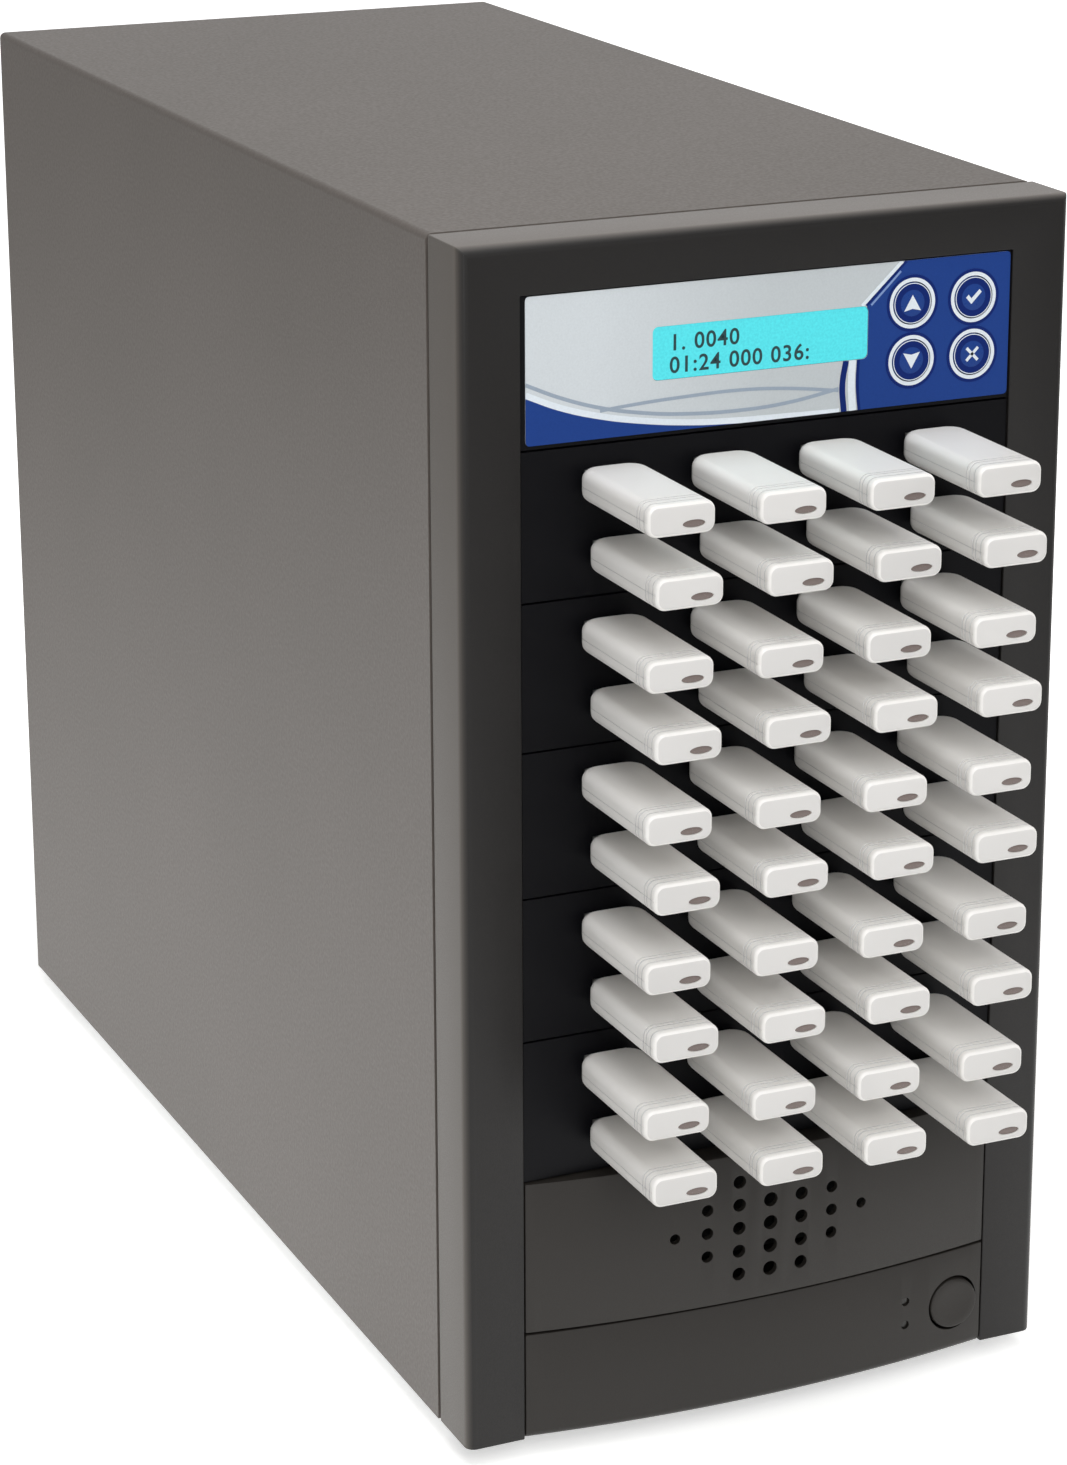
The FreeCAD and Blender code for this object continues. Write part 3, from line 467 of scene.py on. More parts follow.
def pick(piece, part, test):
    """Selects the faces or edges whose middle passes a test; leaves edit mode on."""
    edit()
    bpy.ops.mesh.select_mode(type="FACE" if part == "faces" else "EDGE")
    bpy.ops.mesh.select_all(action="DESELECT")
    done()
    mesh = piece.data
    if part == "faces":
        for face in mesh.polygons:
            face.select = test(face.center, face.normal)
    else:
        for edge in mesh.edges:
            a, b = (mesh.vertices[i].co for i in edge.vertices)
            edge.select = test((a + b) / 2, (b - a).normalized())
    edit()


# %% [markdown]
# The next helpers finish a piece: one cuts it with another piece, one rounds its edges, and
# the rest shade, join, colour and copy pieces.

# %% Finishing helpers
def cut_with(piece, cutter, operation="DIFFERENCE"):
    """Cuts one piece with another, which is then thrown away."""
    alone(piece)
    knife = piece.modifiers.new("cut", "BOOLEAN")
    knife.operation = operation
    knife.solver = "EXACT"
    knife.object = cutter
    bpy.ops.object.modifier_apply(modifier="cut")
    bpy.data.objects.remove(cutter)


def soften(piece, width, segments=2, angle=30):
    """Rounds the sharp edges of a piece with a bevel modifier."""
    alone(piece)
    bevel = piece.modifiers.new("soft_edges", "BEVEL")
    bevel.width = width
    bevel.segments = segments
    bevel.limit_method = "ANGLE"
    bevel.angle_limit = math.radians(angle)
    bpy.ops.object.modifier_apply(modifier="soft_edges")


def smooth(piece, angle=35):
    """Shades a piece smooth, except over its sharp edges."""
    alone(piece)
    bpy.ops.object.shade_smooth_by_angle(angle=math.radians(angle))


def join(first, others):
    """Joins pieces into the first, and keeps each one's finish."""
    alone(first)
    for other in others:
        other.select_set(True)
    bpy.ops.object.join()
    return first


def finish_with(piece, *materials):
    """Gives a piece its finishes, and hands it back."""
    piece.data.materials.clear()
    for material in materials:
        piece.data.materials.append(material)
    return piece


def copy_of(piece, name, shift):
    """A copy with a mesh of its own, moved in its mesh."""
    alone(piece)
    bpy.ops.object.duplicate(linked=False)
    copy = bpy.context.object
    copy.name = name
    copy.location = shift
    settle(copy)
    return copy


# %% [markdown]
# A flash drive is two shells of white plastic snapped together round a small board. One is
# modelled at the first port: a box whose long edges are rounded like a bar of soap, with a
# tighter edge at the outer end, a joint line round its middle, three fine rings where the
# end cap starts, and an oval window for the light. The metal plug sits in the port.

# %% Sizes of a flash drive
first_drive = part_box("drive_01")
drive_out = first_drive[0].y
drive_centre = centre_of("drive_01")
half_wide = (first_drive[1].x - first_drive[0].x) / 2
half_high = (first_drive[1].z - first_drive[0].z) / 2
casing_length = 46 * mm
plug_width, plug_height = 12 * mm, 4.5 * mm
plug_end = first_drive[1].y
casing_in = drive_out + casing_length
long_edge, outer_edge, inner_corner = 2.8 * mm, 1.2 * mm, 6.0 * mm
ring_places = (2.6 * mm, 5.2 * mm, 6.8 * mm)
ring_width, ring_depth = 0.6 * mm, 0.2 * mm
joint_width, joint_depth = 0.2 * mm, 0.16 * mm
joint_drop = 0.1 * mm
window_middle = (3.4 * mm, -1.4 * mm)
window_half = (3.3 * mm, 1.1 * mm)


print("A drive is", round(2 * half_wide / mm, 1), "by", round(2 * half_high / mm, 1), "mm")


# %% Casing of a flash drive
def drive_casing():
    """The two white shells as one closed form, with their grooves."""
    x, z = drive_centre
    casing = start_box("casing", (x - half_wide, drive_out, z - half_high),
                       (x + half_wide, casing_in, z + half_high))
    # plan corners at the port end
    pick(casing, "edges", lambda m, d: abs(d.z) > 0.9 and m.y > casing_in - near)
    bpy.ops.mesh.bevel(offset=inner_corner, segments=6)
    done()
    # all edges of the top and bottom, except those of the outer end
    pick(casing, "edges", lambda m, d: abs(abs(m.z - z) - half_high) < near
         and m.y > drive_out + near)
    bpy.ops.mesh.bevel(offset=long_edge, segments=6)
    done()
    # rim of the outer end
    pick(casing, "faces", lambda c, n: n.y < -0.9)
    bpy.ops.mesh.region_to_loop()
    bpy.ops.mesh.bevel(offset=outer_edge, segments=4)
    done()
    # rings and the joint line: a narrow band is cut free, then pressed in
    joint = z - joint_drop
    for place in ring_places:
        press_band(casing, "y", drive_out + place, ring_width, ring_depth)
    press_band(casing, "z", joint, joint_width, joint_depth)
    # the second finish, painted shade, goes into the grooves, and the third, painted shade too, on
    # the flat of the outer end
    for face in casing.data.polygons:
        c = face.center
        ring = any(abs(c.y - drive_out - place) < ring_width / 2 + near for place in ring_places)
        seam = abs(c.z - joint) < joint_width / 2 + near and c.y > drive_out + 2 * mm
        face.material_index = 1 if ring or seam else 2 if face.normal.y < -0.95 else 0
    return casing


def press_band(piece, axis, place, width, depth):
    """Cuts two parallel planes through a piece and presses the band between them in."""
    index = "xyz".index(axis)
    direction = [0, 0, 0]
    direction[index] = 1
    for side in (-1, 1):
        alone(piece)
        edit()
        bpy.ops.mesh.select_all(action="SELECT")
        point = [0, 0, 0]
        point[index] = place + side * width / 2
        bpy.ops.mesh.bisect(plane_co=point, plane_no=direction)
        done()
    pick(piece, "faces", lambda c, n: abs(c[index] - place) < width / 2 and abs(n[index]) < 0.8
         and n.y > -0.5)
    bpy.ops.mesh.extrude_region_shrink_fatten(
        TRANSFORM_OT_shrink_fatten={"value": -depth, "use_even_offset": False})
    done()


def oval(name, x, z, half_x, half_z, y_low, y_high):
    """A rod with an oval section."""
    piece = start_rod(name, (x, z), 1, y_low, y_high, sides=40)
    edit()
    bpy.ops.mesh.select_all(action="SELECT")
    bpy.ops.transform.resize(value=(half_x, 1, half_z), center_override=(x, 0, z))
    done()
    return piece

# %% [markdown]
# The bezel is one moulding, and its outer edges are well rounded. The imported model has its
# shape already, so a copy is merged into whole faces and all of its sharp edges are eased
# a little, as a mould leaves them. Its sides are in the tone of the cover, its top is painted
# lighter as a painted highlight, its front is painted darker as painted shade, and the tone
# turns from lit to shaded round the edge.

# %% Bezel with eased edges
def eased_copy(name, node, width, segments=2):
    """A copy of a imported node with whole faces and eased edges."""
    piece = copy_of(nodes[node], name, (0, 0, 0))
    edit()
    bpy.ops.mesh.select_all(action="SELECT")
    bpy.ops.mesh.remove_doubles(threshold=near)
    bpy.ops.mesh.dissolve_limited(angle_limit=math.radians(0.5))
    done()
    soften(piece, width, segments, 40)
    return piece


bezel = eased_copy("moulded_bezel", "front_bezel", 0.35 * mm)
bezel_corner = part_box("front_bezel")[1]
finish_with(bezel, bezel_front, bezel_side, bezel_highlit_top)
edge_reach = 3.1 * mm
# the sides take the cover's tone grading into painted shade, the top the painted highlight, the
# front keeps the painted shade
for face in bezel.data.polygons:
    on_side = abs(face.center.x) > bezel_corner.x - edge_reach
    on_top = face.center.z > bezel_corner.z - edge_reach
    face.material_index = 1 if on_side else 2 if on_top else 0
smooth(bezel, 35)
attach(bezel, "case")
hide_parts("front_bezel")
print("The bezel has", len(bezel.data.polygons), "faces")

# %% [markdown]
# The vent panel and the chin are bowed trays. A box is trimmed by a great upright cylinder,
# which gives the bow in one cut, then eased and hollowed from behind with a second, slightly
# smaller form. Round holes are cut last, all of them at once.

# %% Bowed trays
fascia_wall, fascia_edge = 1.8 * mm, 0.5 * mm
hole_depth = 7 * mm
drum_sides = 600


def bowed_form(name, low, high, bow):
    """A box whose front is trimmed to a bow by an upright cylinder."""
    half = high.x
    radius = (half ** 2 + bow ** 2) / (2 * bow)
    form = start_box(name, low, high)
    bpy.ops.object.select_all(action="DESELECT")
    bpy.ops.mesh.primitive_cylinder_add(vertices=drum_sides, radius=radius,
                                        depth=high.z - low.z + mm,
                                        location=(0, low.y + radius, (low.z + high.z) / 2))
    drum = bpy.context.object
    settle(drum)
    cut_with(form, drum, "INTERSECT")
    return form


def bowed_tray(name, node, bow, foot=0.0):
    """A bowed form with eased edges, a rounder foot if asked, and a hollow back."""
    low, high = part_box(node)
    tray = bowed_form(name, low, high, bow)
    if foot:
        pick(tray, "edges", lambda m, d: m.z < low.z + 0.1 * mm and abs(d.x) > 0.5
             and m.y < front)
        bpy.ops.mesh.bevel(offset=foot, segments=5)
        done()
    soften(tray, fascia_edge, 2, 40)
    hollow_low = low + Vector((fascia_wall, fascia_wall, fascia_wall))
    hollow_high = high + Vector((-fascia_wall, mm, -fascia_wall))
    cut_with(tray, bowed_form("hollow", hollow_low, hollow_high, bow))
    return tray


print("The bowed mouldings are", round(fascia_wall / mm, 1), "mm thick")

# %% Vent panel
column_pitch, row_pitch = 10.0 * mm, 7.2 * mm
middle_hole, hole_step = 4.4 * mm, 0.4 * mm
vent_bow = 6.5 * mm
vent = bowed_tray("bowed_vent", "vent_panel", vent_bow)
vent_low, vent_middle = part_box("vent_panel")[0], centre_of("vent_panel")[1]
holes = []
for column in range(-3, 4):
    count = 5 - 2 * max(0, abs(column) - 1)
    radius = (middle_hole - hole_step * abs(column)) / 2
    for row in range(count):
        z = vent_middle + (row - (count - 1) / 2) * row_pitch
        holes.append(start_rod("hole", (column * column_pitch, z), radius,
                               vent_low.y - mm, vent_low.y + hole_depth, 32))
cut_with(vent, join(holes[0], holes[1:]))
finish_with(vent, fascia_plastic)
smooth(vent, 35)
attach(vent, "case")
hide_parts("vent_panel")
print("The vent panel has", len(vent.data.polygons), "faces")

# %% [markdown]
# The chin is the same kind of tray, with a rounder foot, a bore for the power button and
# two small holes for the lamps. Four posts behind it carry the switch's board.

# %% Chin
chin_low, chin_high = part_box("chin_panel")
chin_bow, chin_foot = front - chin_low.y, 2.4 * mm
bore_centre = centre_of("power_button")
button_tail = 5 * mm                  # how far the stem reaches behind the cap
button_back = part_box("power_button")[1].y - button_tail
bore_radius, lamp_hole = 8.6 * mm, 1.35 * mm
lamp_heights = (18.6 * mm, 26.1 * mm)
post_places = (32.5 * mm, 52.0 * mm)
post_side, post_rise, post_reach = 5 * mm, 8 * mm, 14 * mm
rail_depth, rail_height = 4.7 * mm, 2.8 * mm
chin = bowed_tray("bowed_chin", "chin_panel", chin_bow, chin_foot)
for x in post_places:
    start = front - chin_bow * (1 - (x + post_side / 2) ** 2 / chin_high.x ** 2)
    for rise in (-post_rise, post_rise):
        z = bore_centre[1] + rise
        cut_with(chin, start_box("post", (x - post_side / 2, start + fascia_wall / 2,
                                          z - post_side / 2),
                                 (x + post_side / 2, front + post_reach, z + post_side / 2)),
                 "UNION")
cut_with(chin, start_box("rail_room", (-chin_high.x - mm, front + rail_depth, chin_low.z - mm),
                         (chin_high.x + mm, chin_high.y + mm, chin_low.z + rail_height)))
cutters = [start_rod("bore", bore_centre, bore_radius, chin_low.y - mm, button_back, 64)]
for z in lamp_heights:
    cutters.append(start_rod("lamp_hole", (lamp_middle, z), lamp_hole, chin_low.y - mm,
                             chin_low.y + hole_depth, 32))
cut_with(chin, join(cutters[0], cutters[1:]))
finish_with(chin, fascia_plastic)
smooth(chin, 35)
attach(chin, "case")
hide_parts("chin_panel")
print("The chin has", len(chin.data.polygons), "faces")

# %% [markdown]
# The plug is a folded steel shell around a plastic block that carries four contacts. Its
# top and bottom each have two square windows that the port's springs drop into. All of
# this only shows when the drive is pulled out.

# %% Plug of a flash drive
plug_wall, plug_corner = 0.3 * mm, 0.5 * mm
plug_hollow = 9 * mm
block_rise, block_edge = 2.0 * mm, 0.15 * mm
spring_window = 2.4 * mm
spring_place = (2.3 * mm, 4.6 * mm)      # from the middle, and in from the tip
contact_wide, contact_long, contact_thick = 1.0 * mm, 6.6 * mm, 0.15 * mm
contact_pitch, contact_in, contact_edge = 2.5 * mm, 0.8 * mm, 0.06 * mm


def drive_plug():
    """The metal shell, its plastic block and the four contacts."""
    x, z = drive_centre
    half_w, half_h = plug_width / 2, plug_height / 2
    shell = start_box("plug_shell", (x - half_w, casing_in, z - half_h),
                      (x + half_w, plug_end, z + half_h))
    pick(shell, "edges", lambda m, d: abs(d.y) > 0.9)
    bpy.ops.mesh.bevel(offset=plug_corner, segments=3)
    done()
    pick(shell, "faces", lambda c, n: n.y > 0.9)
    bpy.ops.mesh.inset(thickness=plug_wall, use_even_offset=True)
    bpy.ops.mesh.extrude_region_move(TRANSFORM_OT_translate={"value": (0, -plug_hollow, 0)})
    done()
    window_end = plug_end - spring_place[1]
    for side in (-1, 1):
        middle = x + side * spring_place[0]
        cut_with(shell, start_box("spring_windows",
                                  (middle - spring_window / 2, window_end - spring_window,
                                   z - half_h - mm),
                                  (middle + spring_window / 2, window_end, z + half_h + mm)))
    finish_with(shell, socket_metal)
    low = z - half_h + plug_wall
    block = start_box("plug_block", (x - half_w + plug_wall, plug_end - plug_hollow, low),
                      (x + half_w - plug_wall, plug_end - plug_wall, low + block_rise))
    soften(block, block_edge)
    finish_with(block, white_block)
    contacts = []
    contact_end, top = plug_end - contact_in, low + block_rise
    for step in (-1.5, -0.5, 0.5, 1.5):
        middle = x + step * contact_pitch
        contact = start_box("contact",
                            (middle - contact_wide / 2, contact_end - contact_long, top),
                            (middle + contact_wide / 2, contact_end, top + contact_thick))
        soften(contact, contact_edge)
        contacts.append(finish_with(contact, gold))
    return join(shell, [block] + contacts)


# %% Finishes of a flash drive
def drive_white_plastic():
    white = Finish("drive_white_plastic", tone(237, 235, 232), 0.34, specular=0.45)
    broad = white.noise(60)
    white.join(white.blend(white.span(broad, 0, 0.5), tone(238, 236, 233),
                           tone(233, 230, 226)), "Base Color")
    grain = white.noise(2400)
    white.join(white.span(grain, 0.3, 0.42), "Roughness")
    white.bump(grain, 0.00002, 0.35)
    return white.material


white_plastic = drive_white_plastic()
# painted shade: the grooves and the flat of the outer end are written greyer than the white shells
groove_painted_shade = moulded_plastic("drive_groove_painted_shade", tone(202, 201, 200), 0.45)
end_face_painted_shade = moulded_plastic("drive_end_face_painted_shade", tone(207, 205, 203), 0.38)
white_block = moulded_plastic("plug_white_block", tone(206, 205, 200), 0.45)
smoky_window = moulded_plastic("smoky_light_window", tone(112, 100, 96), 0.22, grain=0.00001)
print("Finishes so far:", len(bpy.data.materials))

# %% Assemble one drive
window_depth, lens_gap = 0.5 * mm, 0.1 * mm
lens_sunk, lens_back = 0.22 * mm, 0.6 * mm
model = drive_casing()
for finish in (white_plastic, groove_painted_shade, end_face_painted_shade):
    model.data.materials.append(finish)
window_x = drive_centre[0] + window_middle[0]
window_z = drive_centre[1] + window_middle[1]
cut_with(model, oval("window_cut", window_x, window_z, *window_half,
                     drive_out - mm, drive_out + window_depth))
lens = oval("window_lens", window_x, window_z, window_half[0] - lens_gap,
            window_half[1] - lens_gap, drive_out + lens_sunk, drive_out + lens_back)
soften(lens, lens_gap)
finish_with(lens, smoky_window)
smooth(model, 40)
smooth(lens, 40)
plug = drive_plug()
smooth(plug, 30)
model = join(model, [lens, plug])
print("One drive has", len(model.data.polygons), "faces")

# %% Forty drives
for name in drive_names:
    drive = copy_of(model, "flash_" + name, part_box(name)[0] - first_drive[0])
    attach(drive, name)
    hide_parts(name)
bpy.data.objects.remove(model)
print(len(drive_names), "drives stand in their ports")

# %% [markdown]
# The control panel is a plate with a printed film glued to its face. The film is silver,
# with blue fields and white lines in layers of ink. Each field is drawn as a flat curve,
# turned upright, made a mesh and laid on the film, a twentieth of a millimetre at a time.
# Where a real maker would print a badge, the film stays bare.

# %% Panel places
plate_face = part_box("control_panel")[0].y
panel_left, panel_half = -72.9 * mm, 73.9 * mm
panel_z = centre_of("control_panel")[1]
film_thick = 0.25 * mm
ink = 0.05 * mm
film_face = plate_face - film_thick
key_names = ("key_up", "key_enter", "key_down", "key_escape")
key_hole, ring_outer, halo_outer = 6.05 * mm, 7.1 * mm, 8.0 * mm
display_low = Vector((-35.7 * mm, 0, panel_z - 5.6 * mm))
display_high = Vector((29.6 * mm, 0, panel_z + 9.2 * mm))
film_corner, window_corner = 1.2 * mm, 1.6 * mm
print("The film is", round((panel_half - panel_left) / mm, 1), "mm wide")

# %% Inks and film
speckle = 0.06                        # how much darker the dots of the print are
fade_reach = (-52 * mm, 0 * mm)       # where the silver fades, along the panel


def deeper(colour):
    return tuple(c * (1 - speckle) for c in colour[:3]) + (1.0,)


def printed(name, colour, roughness=0.32, specular=0.45, fade=None):
    """Ink or film with the unevenness of screen print, and perhaps a fade to the right."""
    print_finish = Finish(name, colour, roughness, specular=specular)
    dots = print_finish.noise(1800)
    tones = [colour, deeper(colour)]
    if fade:
        across = print_finish.node("ShaderNodeSeparateXYZ",
                                   Vector=print_finish.place).outputs["X"]
        amount = print_finish.span(across, 0, 1, *fade_reach)
        tones = [print_finish.blend(amount, left, right)
                 for left, right in zip(tones, (fade, deeper(fade)))]
    print_finish.join(print_finish.blend(print_finish.span(dots, 0, 1), *tones), "Base Color")
    print_finish.join(print_finish.span(dots, roughness - 0.04, roughness + 0.06), "Roughness")
    print_finish.bump(dots, 0.00001, 0.2)
    return print_finish.material


silver_film = printed("silver_film", tone(206, 212, 216), specular=0.3, fade=tone(190, 196, 199))
blue_ink = printed("blue_ink", tone(30, 62, 132), specular=0.12)
navy_ink = printed("navy_ink", tone(12, 36, 104), specular=0.12)
white_ink = printed("white_ink", tone(222, 230, 237))
grey_ink = printed("grey_blue_ink", tone(120, 146, 196))
grey_line = printed("grey_line_ink", tone(150, 163, 178))
dark_segment = printed("display_dark", tone(27, 60, 64))

display_light = Finish("display_light", tone(70, 190, 200), 0.25)
display_light.set(Emission_Color=tone(78, 222, 230), Emission_Strength=0.36)
cells = display_light.noise(1500, detail=1)
display_light.join(display_light.blend(display_light.span(cells, 0, 1), tone(70, 192, 200),
                                       tone(60, 176, 186)), "Base Color")
display_light = display_light.material
print("Finishes so far:", len(bpy.data.materials))


# %% Drawing on the panel
def drawn(name, points, layer, ink_finish):
    """A printed field from points (x, z from the panel's middle, in mm, and 1 if curved)."""
    curve = bpy.data.curves.new(name, "CURVE")
    curve.dimensions = "2D"
    curve.fill_mode = "BOTH"
    curve.resolution_u = 16
    curve.extrude = ink / 2
    spline = curve.splines.new("BEZIER")
    spline.bezier_points.add(len(points) - 1)
    spline.use_cyclic_u = True
    for point, (x, z, curved) in zip(spline.bezier_points, points):
        point.co = (x * mm, z * mm, 0)
        point.handle_left_type = point.handle_right_type = "AUTO" if curved else "VECTOR"
    field = bpy.data.objects.new(name, curve)
    bpy.context.scene.collection.objects.link(field)
    return finish_with(raised(field, 0, film_face - ink * (layer - 0.5), panel_z), ink_finish)


def raised(piece, x, y, z):
    """Turns a flat curve or text upright at a place and makes it a mesh."""
    piece.rotation_euler = (math.pi / 2, 0, 0)
    piece.location = (x, y, z)
    alone(piece)
    bpy.ops.object.convert(target="MESH")
    piece = bpy.context.object
    settle(piece)
    return piece


def band(centre_line, width):
    """Outline of a stripe of one width along curved points."""
    left, right = [], []
    for i, (x, z) in enumerate(centre_line):
        before = centre_line[max(i - 1, 0)]
        after = centre_line[min(i + 1, len(centre_line) - 1)]
        run, rise = after[0] - before[0], after[1] - before[1]
        length = math.hypot(run, rise)
        off_x, off_z = -rise / length * width / 2, run / length * width / 2
        curved = 0 if i in (0, len(centre_line) - 1) else 1
        left.append((x + off_x, z + off_z, curved))
        right.append((x - off_x, z - off_z, curved))
    return left + right[::-1]


def disc_ring(name, centre, inner, outer, low, high, ink_finish, sides=64):
    """A flat ring between two radii, facing the front."""
    ring = start_rod(name, centre, outer, low, high, sides)
    cut_with(ring, start_rod("ring_hole", centre, inner, low - mm, high + mm, sides))
    return finish_with(ring, ink_finish)


# %% The film and its printed fields
film_low, film_high = -19.8 * mm, 20.75 * mm
left_edge, right_edge = panel_left / mm, panel_half / mm
low_edge, top_edge = film_low / mm, film_high / mm


def rounded_block(name, low, high, radius, y_low, y_high):
    """A block with round corners seen from the front; low and high are (x, z)."""
    block = start_box(name, (low[0], y_low, low[1]), (high[0], y_high, high[1]))
    pick(block, "edges", lambda m, d: abs(d.y) > 0.9)
    bpy.ops.mesh.bevel(offset=radius, segments=6)
    done()
    return block


film_corners = ((panel_left, panel_z + film_low), (panel_half, panel_z + film_high))
film = finish_with(rounded_block("control_film", *film_corners, film_corner, film_face,
                                 plate_face), silver_film)
field_shapes = {
    "blue_right": [(27.2, low_edge, 0), (26.6, -12.8, 1), (26.8, -5.0, 0), (29.3, 9.6, 0),
                   (40.9, top_edge, 0), (right_edge, top_edge, 0), (right_edge, low_edge, 0)],
    "blue_left": [(left_edge, low_edge, 0), (left_edge, -6.6, 0), (-62.9, -10.8, 1),
                  (-51.2, -14.4, 1), (-39.4, -16.9, 1), (-24.4, -18.8, 1), (-8, low_edge, 0)],
}
# each stripe has its layer, ink, width and centre line
stripes = {
    "edge_line": (2, white_ink, 1.7, [(left_edge, -5.8), (-62.9, -10.1), (-51.2, -13.6),
                                      (-39.4, -16.0), (-24.4, -18.0), (-10.5, -18.9),
                                      (5.6, -19.3), (21, -19.6)]),
    "bar_navy": (2, navy_ink, 1.8, [(22.5, low_edge), (21.9, -12.4), (22.9, -5.6)]),
    "bar_white": (2, white_ink, 2.2, [(25.2, low_edge), (24.7, -12.7), (24.9, -5.6)]),
    "bar_thin": (3, navy_ink, 0.9, [(27.2, low_edge), (26.5, -12.8), (26.7, -5.6)]),
    "slant_white": (2, white_ink, 1.1, [(27.6, 9.3), (33.6, 14.9), (39.9, top_edge)]),
    "slant_navy": (2, navy_ink, 0.8, [(28.9, 9.3), (34.9, 14.9), (41.2, top_edge)]),
    "slant_pale": (2, grey_ink, 0.6, [(30.4, 9.3), (35.6, 14.3), (39.4, 18.0)]),
    "wave_low": (1, grey_line, 1.05, [(left_edge, -3.0), (-62.9, -7.4), (-51.2, -11.3),
                                      (-39, -13.9), (-27.4, -15.4), (-8, -16.2), (5.5, -15.5),
                                      (20.8, -13.2)]),
    "wave_high": (1.3, grey_line, 0.95, [(-51.2, -12.2), (-44.1, -11.6), (-27.5, -10.8),
                                         (-8.1, -10.6), (5.5, -11.6), (20.8, -13.7)]),
}
inside = ("wave_high",)               # needs no trimming at the film's outline
under_display = ("blue_right", "bar_navy", "bar_white", "bar_thin", "slant_white", "slant_navy")

prints = {name: drawn(name, points, 1, blue_ink) for name, points in field_shapes.items()}
for name, (layer, stripe_ink, width, centre_line) in stripes.items():
    prints[name] = drawn(name, band(centre_line, width), layer, stripe_ink)
for name, field in prints.items():
    if name not in inside:
        cut_with(field, rounded_block("film_outline", *film_corners, film_corner,
                                      film_face - 4 * ink, plate_face + mm), "INTERSECT")
for field in (film, *(prints[name] for name in under_display)):
    cut_with(field, rounded_block("display_cut", (display_low.x, display_low.z),
                                  (display_high.x, display_high.z), window_corner,
                                  film_face - mm, plate_face + mm))
print("The film carries", len(prints), "printed fields")

# %% Rings round the keys
fields = [film, *prints.values()]
for name in key_names:
    centre = centre_of(name)
    for field in (film, prints["blue_right"]):
        cut_with(field, start_rod("key_cut", centre, key_hole, film_face - mm,
                                  plate_face + mm, 64))
    fields.append(disc_ring(name + "_halo", centre, ring_outer - 0.1 * mm, halo_outer,
                            film_face - 2.5 * ink, film_face, navy_ink))
    fields.append(disc_ring(name + "_ring", centre, key_hole, ring_outer,
                            film_face - 3 * ink, film_face, white_ink))
film = join(film, fields[1:])
smooth(film, 30)
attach(film, "case")
print("The film has", len(film.data.polygons), "faces in", len(fields), "fields")

# %% [markdown]
# The display is a plain character display behind a window. Its front plate glows cyan, and
# two rows of dark digits stand on it. The digits are plain numbers that say nothing.

# %% Display
glass_face = plate_face + 0.8 * mm
lit_face = plate_face - 0.05 * mm
glass_thick, frame_deep, plate_gap = 0.1 * mm, 9.5 * mm, 0.08 * mm
digit_height, digit_left = 4.5 * mm, -30.6 * mm
digit_share, digit_weight, digit_pitch = 0.72, 0.02, 1.12
row_texts = {"first_row": ("1. 0040", 4.6 * mm), "second_row": ("01:24 000 036:", -1.6 * mm)}


def written(name, words, z):
    """A row of upright digits on the display, as a thin mesh."""
    bpy.ops.object.select_all(action="DESELECT")
    bpy.ops.object.text_add()
    text = bpy.context.object
    text.name = name
    text.data.body = words
    text.data.size = digit_height / digit_share
    text.data.extrude = ink / 2
    text.data.offset = digit_weight * digit_height
    text.data.space_character = digit_pitch
    text = raised(text, digit_left, lit_face - ink / 2, z - digit_height / 2)
    return finish_with(text, dark_segment)


paint("lcd_module", board_green,
      (display_light, lambda c, n: c.y < glass_face + glass_thick),
      (black_plastic, lambda c, n: c.y < glass_face + frame_deep))
lit = finish_with(rounded_block("display_plate",
                                (display_low.x + plate_gap, display_low.z + plate_gap),
                                (display_high.x - plate_gap, display_high.z - plate_gap),
                                window_corner, lit_face, glass_face), display_light)
digits = join(lit, [written(name, words, panel_z + rise)
                    for name, (words, rise) in row_texts.items()])
digits.name = "display_digits"
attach(digits, "case")
print("The display has", len(digits.data.polygons), "faces")

# %% [markdown]
# The four keys are turned blue caps with a soft rim, white near the edge and darker inside
# it, and a white sign: two arrowheads, a tick for yes and a cross for no.

# %% Keys
signs = {
    "key_up": [[(-2.6, -2.2), (0, -1.6), (2.6, -2.2), (0, 2.3)]],
    "key_down": [[(-2.6, 2.2), (0, -2.3), (2.6, 2.2), (0, 1.6)]],
    "key_enter": [[(-2.4, 0.0), (-1.6, 0.8), (-0.7, -0.3), (1.8, 2.1), (2.5, 1.3), (-0.7, -1.9)]],
    "key_escape": [[(-2.1, -1.5), (-1.5, -2.1), (2.1, 1.5), (1.5, 2.1)],
                   [(-2.1, 1.5), (-1.5, 2.1), (2.1, -1.5), (1.5, -2.1)]],
}
key_blue = printed("key_blue", tone(30, 62, 132), 0.3, specular=0.15)
key_edge, rim_radius, rim_inside, field_inside = 0.12 * mm, 5.67 * mm, 5.45 * mm, 3.7 * mm
stem_side, stem_reach, tab_high, tab_behind = 3.0 * mm, 3.5 * mm, 4.0 * mm, 3 * mm
